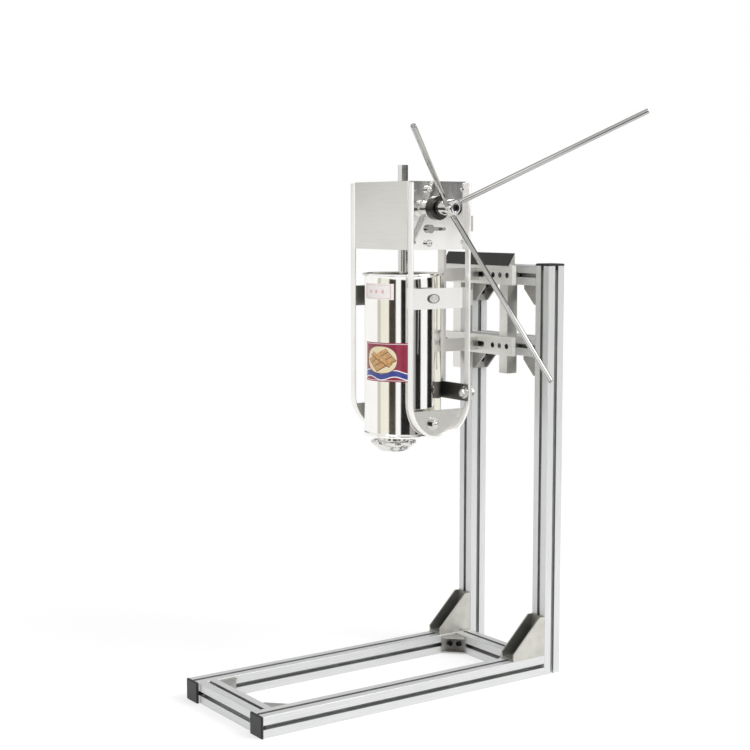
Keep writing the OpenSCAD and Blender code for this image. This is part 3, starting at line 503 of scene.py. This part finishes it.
# The maker of each finish and what it is given
FINISHES = {
    "profile_x": (drawn_aluminium, "X"),
    "profile_y": (drawn_aluminium, "Y"),
    "profile_z": (drawn_aluminium, "Z"),
    "satin_x": (satin_steel, "X"),
    "satin_y": (satin_steel, "Y"),
    "satin_z": (satin_steel, "Z"),
    "cover": (satin_steel, "X", "cover_steel_", 0.93, 0.38),
    "mount": (satin_steel, "X", "mount_steel_", 1.10, 0.34, 0.5),
    # Painted reflection: a darker steel on the far middle plate's inner face, for the dark it
    # mirrors
    "inner": (satin_steel, "Y", "inner_steel_", 0.34, 0.30),
    # Painted reflection: the stop bar's stainless darkened for the dark studio it mirrors
    "stop": (satin_steel, "X", "stop_steel_", 0.22, 0.30),
    "dplate": (satin_steel, "Y", "dplate_steel_", 0.84, 0.26),
    "plate": (polished_steel, "side_plate_steel", 1.0, 0.075, "Y"),
    # Painted shade: the top guard's steel darkened nearly to black, while its right side keeps
    # plain satin steel as its lit side
    "guard": (polished_steel, "guard_steel", 0.075, 0.14, "X"),
    "barrel": (polished_steel, "barrel_steel", 1.0, 0.05),
    "loop": (polished_steel, "loop_steel", 1.0, 0.28, "Z", 0.55),
    "bright": (polished_steel, "bright_steel", 0.72, 0.09, "X"),
    "nut": (polished_steel, "nozzle_steel", 0.80, 0.06),
    "rod": (polished_steel, "rod_steel", 0.80, 0.10),
    "arm": (polished_steel, "arm_steel", 0.50, 0.07, "X"),
    "lever": (polished_steel, "lever_steel", 0.40, 0.05, "Y"),
    "sheet": (polished_steel, "bright_sheet", 0.98, 0.13, "Y"),
    "stud": (stud_steel,),
    "cast": (metal, "cast_aluminium", (0.47, 0.46, 0.44), 0.42, 420, 0.25),
    "gusset": (metal, "gusset_aluminium", (0.64, 0.63, 0.58), 0.40, 420, 0.20),
    # Painted shade: a dark aluminium inside the gussets' pockets, where the shade falls
    "pocket": (metal, "pocket_aluminium", (0.33, 0.33, 0.305), 0.50, 420, 0.25),
    # Painted shade: a darker aluminium on the profiles' slot and bore walls, where light doesn't
    # reach
    "slot": (metal, "slot_aluminium", (0.52, 0.53, 0.52), 0.45, 900, 0.2),
    "thread": (metal, "thread_shade", (0.10, 0.10, 0.10), 0.5, 900, 0.3),
    "turned": (metal, "turned_steel", (0.34, 0.34, 0.35), 0.34, 600, 0.10),
    # Painted reflection: the bearing flanges made near-black for the dark blob mirrored round the
    # hub
    "bearing": (metal, "bearing_steel", (0.075, 0.075, 0.07), 0.30, 600, 0.10),
    "oxide": (metal, "black_oxide", (0.035, 0.035, 0.04), 0.38, 800, 0.12),
    "bronze": (metal, "bearing_bronze", (0.55, 0.36, 0.16), 0.30, 600, 0.08),
    "cap": (moulded_plastic, "black_cap", (0.018, 0.018, 0.02), 0.45),
    "white": (moulded_plastic, "piston_white", (0.80, 0.80, 0.77), 0.35, 300),
    "seal": (moulded_plastic, "seal_rubber", (0.66, 0.66, 0.62), 0.55, 500),
    "picture": (picture_print,),
    "small": (small_print,),
}
MADE = {}


def material(key):
    """The finish with that name, made once."""
    if key not in MADE:
        maker, *details = FINISHES[key]
        MADE[key] = maker(*details)
    return MADE[key]


# Which finish each carried-over node gets
NODE_FINISH = {
    "base_rail_near": "profile_y", "base_rail_far": "profile_y",
    "front_cross_rail": "profile_x", "rear_cross_rail": "profile_x",
    "upright_near": "profile_z", "upright_far": "profile_z",
    "upper_cross_rail": "profile_x", "lower_cross_rail": "profile_x",
    "end_caps": "cap", "base_gussets": "gusset", "corner_brackets": "cast",
    "bracket_screws": "oxide", "slot_nuts": "turned", "upper_mount_plate": "mount",
    "lower_mount_plate": "mount", "spacer_tubes": "satin_z", "mount_bolts": "turned",
    "top_guard": "guard", "support_arms": "satin_y", "arm_bolts": "oxide",
    "rear_post": "satin_z", "rear_bars": "satin_x", "stop_bar": "stop",
    "frame_bolts": "bright", "loop_near": "loop", "loop_far": "loop",
    "mid_plate_near": "sheet", "mid_plate_far": "sheet", "plate_stud": "bright",
    "trunnion_plate_near": "dplate", "trunnion_plate_far": "dplate",
    "trunnion_pins": "bright", "trunnion_nuts": "bright", "side_plate_near": "plate",
    "side_plate_far": "plate", "front_cover": "cover", "rear_cover": "cover",
    "top_cover": "cover", "bottom_cover": "cover", "cover_screws": "bright",
    "upper_guide": "turned", "lower_guide": "turned", "guide_bushes": "bronze",
    "guide_bolts": "bright", "shaft_bearings": "bearing", "pinion_shaft": "turned",
    "ratchet_wheel": "turned", "crank_hub": "bright", "crank_arm_1": "arm",
    "crank_arm_2": "arm", "crank_arm_3": "arm", "hub_screw": "oxide", "pawl": "turned",
    "pawl_lever": "lever", "rack_rod": "rod", "piston": "white", "piston_seal": "seal",
    "barrel": "barrel", "nozzle_nut": "nut", "nozzle_die": "nut",
}


# Picks the faces that get painted light or shade on the top guard and the far middle plate
def faces_right(centre, normal, low, high):
    """On a side that looks towards +X."""
    return normal.x > 0.9


def hole_wall(centre, normal, low, high):
    """Inside the holes and the slot of an upright plate, away from its outer edge."""
    inset = min(centre.x - low.x, high.x - centre.x, centre.z - low.z, high.z - centre.z)
    return abs(normal.y) < 0.2 and inset > 3 * MM


# Picks the gusset faces that get painted shade
def gusset_pocket(centre, normal, low, high):
    """Between the two outer webs of a gusset, on either side of the stand."""
    web = 2 * MM
    return abs(abs(centre.x) - (high.x - GUSSET_WIDTH / 2)) < GUSSET_WIDTH / 2 - web


# Picks the profile faces that get painted shade
def slot_wall(centre, normal, low, high):
    """Inside the slots and the core bore of a profile, whose length is its longest side."""
    span = high - low
    along = max(range(3), key=lambda axis: span[axis])
    depth = min(min(centre[axis] - low[axis], high[axis] - centre[axis])
                for axis in range(3) if axis != along)
    return abs(normal[along]) < 0.5 and depth > 1 * MM


# Faces of a carried-over node that get a material of their own: painted shade in the profiles'
# slots and the gussets' pockets, dark threads with painted shade in the mount plates' holes, a
# painted dark reflection on the far middle plate's inner face, and the top guard's lit right side
# beside its painted shade
TOUCHES = [(name, "slot", slot_wall) for name in (
    "base_rail_near", "base_rail_far", "front_cross_rail", "rear_cross_rail",
    "upright_near", "upright_far", "upper_cross_rail", "lower_cross_rail")] + [
    # The top guard's lit right side, and the painted dark reflection on the far middle plate's
    # inner face
    ("top_guard", "satin_x", faces_right), ("mid_plate_far", "inner", faces_right),
    ("base_gussets", "pocket", gusset_pocket),
    ("upper_mount_plate", "thread", hole_wall), ("lower_mount_plate", "thread", hole_wall),
]


class CHURRO_OT_finishes(bpy.types.Operator):
    """Give every carried-over node its finish"""
    bl_idname = "churro.finishes"
    bl_label = "Finishes"

    def execute(self, context):
        missing = set(NODES) ^ set(NODE_FINISH)
        if missing:
            raise RuntimeError(f"no finish, or no node, for {sorted(missing)}")
        for name, obj in NODES.items():
            obj.data.materials.clear()
            obj.data.materials.append(material(NODE_FINISH[name]))
        # The faces chosen in TOUCHES get their painted shade, painted reflection or lit side
        for name, key, chosen in TOUCHES:
            low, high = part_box(name)
            mesh = NODES[name].data
            mesh.materials.append(material(key))
            for face in mesh.polygons:
                if chosen(face.center, face.normal, low, high):
                    face.material_index = 1
        return {"FINISHED"}


class CHURRO_OT_barrel(bpy.types.Operator):
    """Turn the barrel with its rolled lip, foot bead and outlet neck"""
    bl_idname = "churro.barrel"
    bl_label = "Barrel"

    def execute(self, context):
        s = context.scene.churro_maker
        r, wall, lip = s.barrel_radius, s.barrel_wall, s.lip_radius
        inner = r - wall
        top, foot = BARREL_HIGH.z, PISTON_LOW.z - 4 * MM
        floor = foot + 3 * MM
        hole = 28 * MM
        outline = [(hole, foot), (r - 3 * MM, foot), (r - 0.9 * MM, foot + 0.3 * MM),
                   (r + 1.0 * MM, foot + 1.6 * MM), (r + 1.4 * MM, foot + 4.5 * MM),
                   (r + 1.0 * MM, foot + 7.4 * MM), (r, foot + 9 * MM), (r, foot + 12 * MM),
                   (r, top - 24 * MM), (r, top - 7.5 * MM), (r + 0.7 * MM, top - 5.4 * MM),
                   (lip - 2.2 * MM, top - 3.4 * MM), (lip - 0.6 * MM, top - 2.9 * MM),
                   (lip, top - 1.7 * MM), (lip - 0.5 * MM, top - 0.5 * MM), (lip - 1.7 * MM, top),
                   (lip - 2.9 * MM, top - 0.7 * MM), (r - 0.2 * MM, top - 3.0 * MM),
                   (inner + 0.4 * MM, top - 5.2 * MM), (inner, top - 8 * MM),
                   (inner, floor + 2 * MM), (inner - 2 * MM, floor), (hole, floor),
                   (hole, foot)]
        lathe(outline, (AXIS.x, AXIS.y, 0), 160)
        settle("barrel_shell", "stand", material("barrel"), ["barrel"], 32)
        nut_low, nut_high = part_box("nozzle_nut")
        middle = (nut_low + nut_high) / 2
        low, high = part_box("nozzle_die")[1].z, foot + 1 * MM
        bore, neck = 26 * MM, 30 * MM
        lathe([(bore, low), (neck - 0.4 * MM, low), (neck, low + 0.5 * MM), (neck, high),
               (bore, high), (bore, low)], (middle.x, middle.y, 0), 96)
        settle("outlet_neck", "stand", material("nut"), smooth=32)
        return {"FINISHED"}


class CHURRO_OT_loops(bpy.types.Operator):
    """Bend the two loops from flat strip"""
    bl_idname = "churro.loops"
    bl_label = "Loops"

    def execute(self, context):
        s = context.scene.churro_maker
        for side in ("near", "far"):
            low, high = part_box("loop_" + side)
            middle = (low.y + high.y) / 2
            radius = (high.y - low.y) / 2
            bend = low.z + radius
            half = s.strip_thickness / 2
            start()
            bpy.ops.mesh.primitive_plane_add(
                size=1, location=((low.x + high.x) / 2, low.y + half, high.z))
            obj = bpy.context.object
            obj.scale = (high.x - low.x, s.strip_thickness, 1)
            bake()
            edit()
            bpy.ops.mesh.select_all(action="SELECT")
            bpy.ops.mesh.extrude_region_move(
                TRANSFORM_OT_translate={"value": (0, 0, bend - high.z)})
            bpy.ops.mesh.spin(
                steps=48, angle=-math.pi, center=(obj.location.x, middle, bend), axis=(1, 0, 0))
            bpy.ops.mesh.extrude_region_move(
                TRANSFORM_OT_translate={"value": (0, 0, high.z - bend)})
            close_mesh()
            reached = min(v.co.z for v in obj.data.vertices)
            if abs(reached - low.z) > 1 * MM:
                raise RuntimeError(f"the {side} loop bends the wrong way")
            round_edges(obj, s.strip_round, angle=40)
            settle("loop_strip_" + side, "stand", material("loop"),
                   ["loop_" + side], 40)
        return {"FINISHED"}


class CHURRO_OT_crank(bpy.types.Operator):
    """Turn the hub and its three leaning arms"""
    bl_idname = "churro.crank"
    bl_label = "Crank"

    def execute(self, context):
        s = context.scene.churro_maker
        low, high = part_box("crank_hub")
        step = 30 * MM
        begin, end = low.x - AXIS.x, high.x - AXIS.x
        neck, head = 14 * MM, 16 * MM
        bore, recess = 6 * MM, 7.5 * MM
        outline = [(bore, begin), (neck - 1.2 * MM, begin), (neck, begin + 1.2 * MM),
                   (neck, begin + step - 1.5 * MM), (neck + 0.6 * MM, begin + step - 0.5 * MM),
                   (head - 1 * MM, begin + step), (head, begin + step + 1 * MM),
                   (head, end - 4.5 * MM), (head - 0.6 * MM, end - 2.4 * MM),
                   (head - 2.2 * MM, end - 0.6 * MM), (head - 4.2 * MM, end),
                   (recess + 0.9 * MM, end), (recess, end - 0.9 * MM), (recess, end - 7 * MM),
                   (bore, end - 7 * MM), (bore, begin)]
        lathe(outline, (AXIS.x, SHAFT.y, SHAFT.z), 96, "X")
        settle("hub_body", "crank", material("bright"), ["crank_hub"], 30)
        apex = Vector((AXIS.x + s.arm_meet, SHAFT.y, SHAFT.z))
        arm_start, collar_place = 12 * MM, 19 * MM
        for number in range(3):
            phase = s.arm_phase + number * math.tau / 3
            flat = math.cos(s.arm_lean)
            along = Vector((math.sin(s.arm_lean), flat * math.cos(phase), flat * math.sin(phase)))
            tip = apex + along * s.arm_length
            rod(apex + along * arm_start, tip, s.arm_radius, 1.3 * MM)
            edit()
            pick_faces(lambda centre, normal: normal.dot(along) > 0.99
                       and (centre - tip).length < 1 * MM)
            bpy.ops.mesh.inset(thickness=1.4 * MM)
            bpy.ops.transform.translate(value=tuple(along * -1.6 * MM))
            bpy.ops.object.mode_set(mode="OBJECT")
            settle(f"arm_rod_{number + 1}", "crank", material("arm"),
                   [f"crank_arm_{number + 1}"], 30)
            start()
            bpy.ops.mesh.primitive_torus_add(
                major_segments=48, minor_segments=12, major_radius=s.arm_radius + 0.4 * MM,
                minor_radius=0.9 * MM, location=apex + along * collar_place,
                rotation=along.to_track_quat("Z", "Y").to_euler())
            settle(f"arm_collar_{number + 1}", "crank", material("bright"))
        return {"FINISHED"}


class CHURRO_OT_housing(bpy.types.Operator):
    """Fold the front cover"""
    bl_idname = "churro.housing"
    bl_label = "Housing"

    def execute(self, context):
        s = context.scene.churro_maker
        low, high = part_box("front_cover")
        start()
        sheet = 1.5 * MM
        bpy.ops.mesh.primitive_plane_add(
            size=1, location=((low.x + high.x) / 2, low.y + sheet / 2, (low.z + high.z) / 2),
            rotation=(math.pi / 2, 0, 0))
        obj = bpy.context.object
        obj.scale = (high.x - low.x - sheet, high.z - low.z, 1)
        bake()
        for edge_x in (low.x, high.x):
            edit("EDGE")
            pick_edges(lambda a, b: abs(a.x - edge_x) < sheet and abs(b.x - edge_x) < sheet)
            bpy.ops.mesh.extrude_region_move(
                TRANSFORM_OT_translate={"value": (0, high.y - low.y - sheet / 2, 0)})
            bpy.ops.object.mode_set(mode="OBJECT")
        edit("EDGE")
        pick_edges(lambda a, b: abs(a.z - b.z) > 50 * MM and max(a.y, b.y) < low.y + sheet)
        bpy.ops.mesh.bevel(offset=s.cover_fold, segments=5, affect="EDGES")
        close_mesh()
        thick = obj.modifiers.new("sheet", "SOLIDIFY")
        thick.thickness = sheet
        thick.offset = 0
        apply_modifiers(obj)
        round_edges(obj, 0.25 * MM, 2, 50)
        settle("cover_front", "stand", material("cover"), ["front_cover"], 35)
        return {"FINISHED"}


class CHURRO_OT_stud(bpy.types.Operator):
    """Press the plain oval stud on the near middle plate"""
    bl_idname = "churro.stud"
    bl_label = "Oval stud"

    def execute(self, context):
        low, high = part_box("plate_stud")
        middle = (low + high) / 2
        start()
        bpy.ops.mesh.primitive_cylinder_add(
            vertices=72, radius=0.5, depth=high.x - low.x, location=middle,
            rotation=(0, math.pi / 2, 0))
        obj = bpy.context.object
        bpy.ops.object.transform_apply(location=False, rotation=True, scale=True)
        obj.scale = (1, high.y - low.y, high.z - low.z)
        bake()
        edit()
        pick_faces(lambda centre, normal: normal.x > 0.9)
        bpy.ops.mesh.inset(thickness=2.2 * MM)
        bpy.ops.transform.translate(value=(-0.5 * MM, 0, 0))
        bpy.ops.mesh.inset(thickness=0.5 * MM)
        bpy.ops.object.mode_set(mode="OBJECT")
        round_edges(obj, 0.4 * MM, angle=30)
        settle("oval_stud", "stand", material("stud"), ["plate_stud"], 40)
        return {"FINISHED"}


class CHURRO_OT_nozzle(bpy.types.Operator):
    """Turn the nozzle nut and cut its hand grips"""
    bl_idname = "churro.nozzle"
    bl_label = "Nozzle nut"

    def execute(self, context):
        s = context.scene.churro_maker
        low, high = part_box("nozzle_nut")
        middle = (low + high) / 2
        wide, narrow = 44.5 * MM, 30 * MM
        mouth, thread = 22 * MM, 30.3 * MM
        foot, top = low.z, high.z
        outline = [(mouth, foot), (narrow - 1 * MM, foot), (narrow, foot + 0.8 * MM),
                   (narrow + 4.5 * MM, foot + 5 * MM), (wide - 5 * MM, foot + 10 * MM),
                   (wide - 1 * MM, top - 6 * MM), (wide, top - 4 * MM), (wide, top - 1.4 * MM),
                   (wide - 1.2 * MM, top), (thread + 1.7 * MM, top), (thread, top - 1.2 * MM),
                   (thread, foot + 2 * MM), (mouth, foot + 2 * MM), (mouth, foot)]
        nut = lathe(outline, (middle.x, middle.y, 0), 128)
        grip, ring = 8.5 * MM, 48.5 * MM
        cutters = []
        for number in range(s.grips):
            angle = (number + 0.5) * math.tau / s.grips
            start()
            bpy.ops.mesh.primitive_cylinder_add(
                vertices=40, radius=grip, depth=60 * MM,
                location=(middle.x + ring * math.cos(angle),
                          middle.y + ring * math.sin(angle), middle.z))
            cutters.append(bpy.context.object)
        take(*cutters)
        bpy.ops.object.join()
        cutter = bpy.context.object
        take(nut)
        cut = nut.modifiers.new("grips", "BOOLEAN")
        cut.operation = "DIFFERENCE"
        cut.object = cutter
        cut.solver = "EXACT"
        apply_modifiers(nut)
        bpy.data.objects.remove(cutter)
        round_edges(nut, 1 * MM, angle=50)
        settle("nozzle_star_nut", "nozzle", material("nut"),
               ["nozzle_nut"], 38)
        return {"FINISHED"}


def wrapped_label(name, width, height, foot, turn, finish):
    """A sticker bent round the barrel, its middle turned from the front."""
    radius = settings().barrel_radius + 0.1 * MM
    start()
    bpy.ops.mesh.primitive_grid_add(
        size=1, x_subdivisions=48, y_subdivisions=6, rotation=(math.pi / 2, 0, 0))
    obj = bpy.context.object
    obj.scale = (width, height, 1)
    bake()
    bend = obj.modifiers.new("wrap", "SIMPLE_DEFORM")
    bend.deform_method = "BEND"
    bend.deform_axis = "Z"
    bend.angle = width / radius
    apply_modifiers(obj)
    obj.location = (0, -radius, 0)
    bake()
    reach = [math.hypot(v.co.x, v.co.y) for v in obj.data.vertices]
    if max(reach) - min(reach) > 0.4 * MM:
        raise RuntimeError(f"{name} doesn't follow the barrel")
    obj.rotation_euler = (0, 0, turn)
    obj.location = (AXIS.x, AXIS.y, foot + height / 2)
    bake()
    film = obj.modifiers.new("film", "SOLIDIFY")
    film.thickness = 0.25 * MM
    film.offset = 1
    apply_modifiers(obj)
    settle(name, "stand", finish, smooth=30)


class CHURRO_OT_labels(bpy.types.Operator):
    """Wrap the picture label and the small pale sticker round the barrel"""
    bl_idname = "churro.labels"
    bl_label = "Labels"

    def execute(self, context):
        s = context.scene.churro_maker
        wrapped_label("picture_label", s.label_width, s.label_height, s.label_foot,
                      s.label_turn, material("picture"))
        wrapped_label("small_label", *SMALL_LABEL, material("small"))
        return {"FINISHED"}


# The studio

# What polished metal sees round the press: heading in degrees from +X, and level
CREAM, TAN, UMBER = (0.90, 0.88, 0.78), (0.62, 0.60, 0.54), (0.055, 0.045, 0.03)
LOW_PANELS = [(-180, 1.0), (-117, TAN), (-105, CREAM), (-77, UMBER), (-56, 1.0), (-41, 0.015),
              (-14, 0.40), (3, 0.015), (20, 1.0), (43, 0.015), (75, CREAM), (125, 0.20),
              (150, 0.96)]
HIGH_PANELS = [(-180, 0.96), (-64, 0.09), (106, 0.92), (156, 0.05)]
# Width of the edge between two panels, as a share of a full turn
PANEL_EDGE = 0.003
# What it sees overhead, with the heading as such a share too
CEILING = [(0.0, 0.30), (0.04, 0.40), (0.08, 0.90), (0.20, 0.88), (0.35, 0.92), (0.50, 1.0),
           (0.62, 0.90), (0.67, 0.10), (0.83, 0.10), (0.87, 0.64), (0.95, 0.64), (0.98, 0.35),
           (1.0, 0.30)]
# The soft light on dull surfaces, which comes mostly from the right
FILL = [(0.0, 0.42), (0.22, 0.42), (0.36, 1.15), (0.72, 1.15), (0.86, 0.70), (1.0, 0.42)]
# Name, place, edge length and power of each soft lamp
LAMPS = [("key_lamp", (2.1, 1.2, 3.0), 1.6, 55), ("front_lamp", (0.9, -2.8, 1.9), 1.6, 8)]
LAMP_AIM = Vector((0.0, -0.25, 0.55))
FLOOR_RADIUS, FLOOR_PLACE, FLOOR_GLOW = 2.4, (0.2, -0.3, 0), 0.61
# The photograph's own viewpoint, fitted to the stand
CAMERA_PLACE = (2.3820, -1.9966, 0.9219)
CAMERA_DIP, CAMERA_TURN = math.radians(6.036), math.radians(55.147)
FOCAL_PIXELS, FRAME_PIXELS, SENSOR = 1514.47, 750, 36


def ramp(nodes, value, stops):
    """Levels or colours at places from 0 to 1 along a value."""
    made = nodes.add("ValToRGB")
    points = made.color_ramp.elements
    while len(points) < len(stops):
        points.new(0.5)
    for point, (place, level) in zip(points, stops):
        point.position = place
        point.color = (*level, 1) if isinstance(level, tuple) else (level, level, level, 1)
    nodes.link(value, made.inputs[0])
    return made.outputs[0]


def panels(nodes, heading, walls):
    """Upright panels round the press, each from its heading in degrees to the next."""
    stops = []
    for degrees, level in walls:
        place = (degrees + 180) / 360
        if stops:
            stops.append((place - PANEL_EDGE, stops[-1][1]))
        stops.append((place, level))
    return ramp(nodes, heading, stops)


def light_room():
    """Panels for reflections, soft light for dull surfaces and white for the camera."""
    world = bpy.data.worlds.new("studio")
    bpy.context.scene.world = world
    world.use_nodes = True
    room = Nodes(world.node_tree)
    room.tree.nodes.clear()
    coords, split, path = room.add("TexCoord"), room.add("SeparateXYZ"), room.add("LightPath")
    room.link(coords.outputs["Generated"], split.inputs[0])
    east, north, high = split.outputs
    heading = room.plus(room.calc("DIVIDE", room.calc("ARCTAN2", north, east), math.tau), 0.5)
    # The upper panels give way to the ceiling between 2 and 6 degrees above the horizon
    over = room.mix(ramp(room, room.times(high, 8.0), [(0.3, 0.0), (0.8, 1.0)]),
                    panels(room, heading, HIGH_PANELS), ramp(room, heading, CEILING))
    walls = room.mix(room.calc("GREATER_THAN", high, 0.0),
                     panels(room, heading, LOW_PANELS), over)

    def background(colour):
        made = room.add("Background", Strength=1.0)
        room.link(colour, made.inputs["Color"])
        return made.outputs[0]

    def choose(ray, others, this):
        """One background for a kind of ray, and another for all others."""
        made = room.add("MixShader")
        for source, socket in zip((path.outputs[ray], others, this), made.inputs):
            room.link(source, socket)
        return made.outputs[0]

    lit = choose("Is Glossy Ray", background(ramp(room, heading, FILL)), background(walls))
    seen = choose("Is Camera Ray", lit, background((1, 1, 1, 1)))
    room.link(seen, room.add("OutputWorld").inputs[0])


class CHURRO_OT_stage(bpy.types.Operator):
    """Set up the floor, the studio light and the camera"""
    bl_idname = "churro.stage"
    bl_label = "Studio"

    def execute(self, context):
        context.scene.view_settings.view_transform = "Standard"
        start()
        bpy.ops.mesh.primitive_circle_add(
            vertices=96, radius=FLOOR_RADIUS, fill_type="NGON", location=FLOOR_PLACE)
        floor = bpy.context.object
        floor.name = "studio_floor"
        look = Finish("studio_floor", (0.42, 0.42, 0.42), 0, 0.9)
        look.put("Emission Color", (1, 1, 1, 1))
        look.put("Emission Strength", FLOOR_GLOW)
        look.put("Specular IOR Level", 0.0)
        floor.data.materials.append(look.material)
        light_room()
        for name, place, size, power in LAMPS:
            start()
            bpy.ops.object.light_add(type="AREA", location=place)
            lamp = bpy.context.object
            lamp.name = name
            lamp.data.shape = "SQUARE"
            lamp.data.size = size
            lamp.data.energy = power
            aim = LAMP_AIM - lamp.location
            lamp.rotation_euler = aim.to_track_quat("-Z", "Y").to_euler()
        start()
        bpy.ops.object.camera_add(
            location=CAMERA_PLACE, rotation=(math.pi / 2 - CAMERA_DIP, 0, CAMERA_TURN))
        camera = bpy.context.object
        camera.name = "photo_camera"
        camera.data.sensor_width = SENSOR
        camera.data.sensor_fit = "HORIZONTAL"
        camera.data.lens = SENSOR * FOCAL_PIXELS / FRAME_PIXELS
        camera.data.clip_end = 100
        bpy.context.scene.camera = camera
        return {"FINISHED"}


OPERATORS = (CHURRO_OT_stage, CHURRO_OT_finishes, CHURRO_OT_barrel, CHURRO_OT_loops,
             CHURRO_OT_crank, CHURRO_OT_housing, CHURRO_OT_stud, CHURRO_OT_nozzle,
             CHURRO_OT_labels)


class CHURRO_PT_panel(bpy.types.Panel):
    """Lists the settings and the steps of the churro maker"""
    bl_label = "Churro Maker"
    bl_idname = "CHURRO_PT_panel"
    bl_space_type = "VIEW_3D"
    bl_region_type = "UI"
    bl_category = "Churro Maker"

    def draw(self, context):
        for name in ChurroMakerSettings.__annotations__:
            self.layout.prop(context.scene.churro_maker, name)
        for step in OPERATORS:
            self.layout.operator(step.bl_idname)


CLASSES = (ChurroMakerSettings, *OPERATORS, CHURRO_PT_panel)


def register():
    for cls in CLASSES:
        bpy.utils.register_class(cls)
    bpy.types.Scene.churro_maker = PointerProperty(type=ChurroMakerSettings)


def unregister():
    del bpy.types.Scene.churro_maker
    for cls in reversed(CLASSES):
        bpy.utils.unregister_class(cls)


def main():
    register()
    for step in OPERATORS:
        group, name = step.bl_idname.split(".")
        getattr(getattr(bpy.ops, group), name)()


if __name__ == "__main__":
    main()
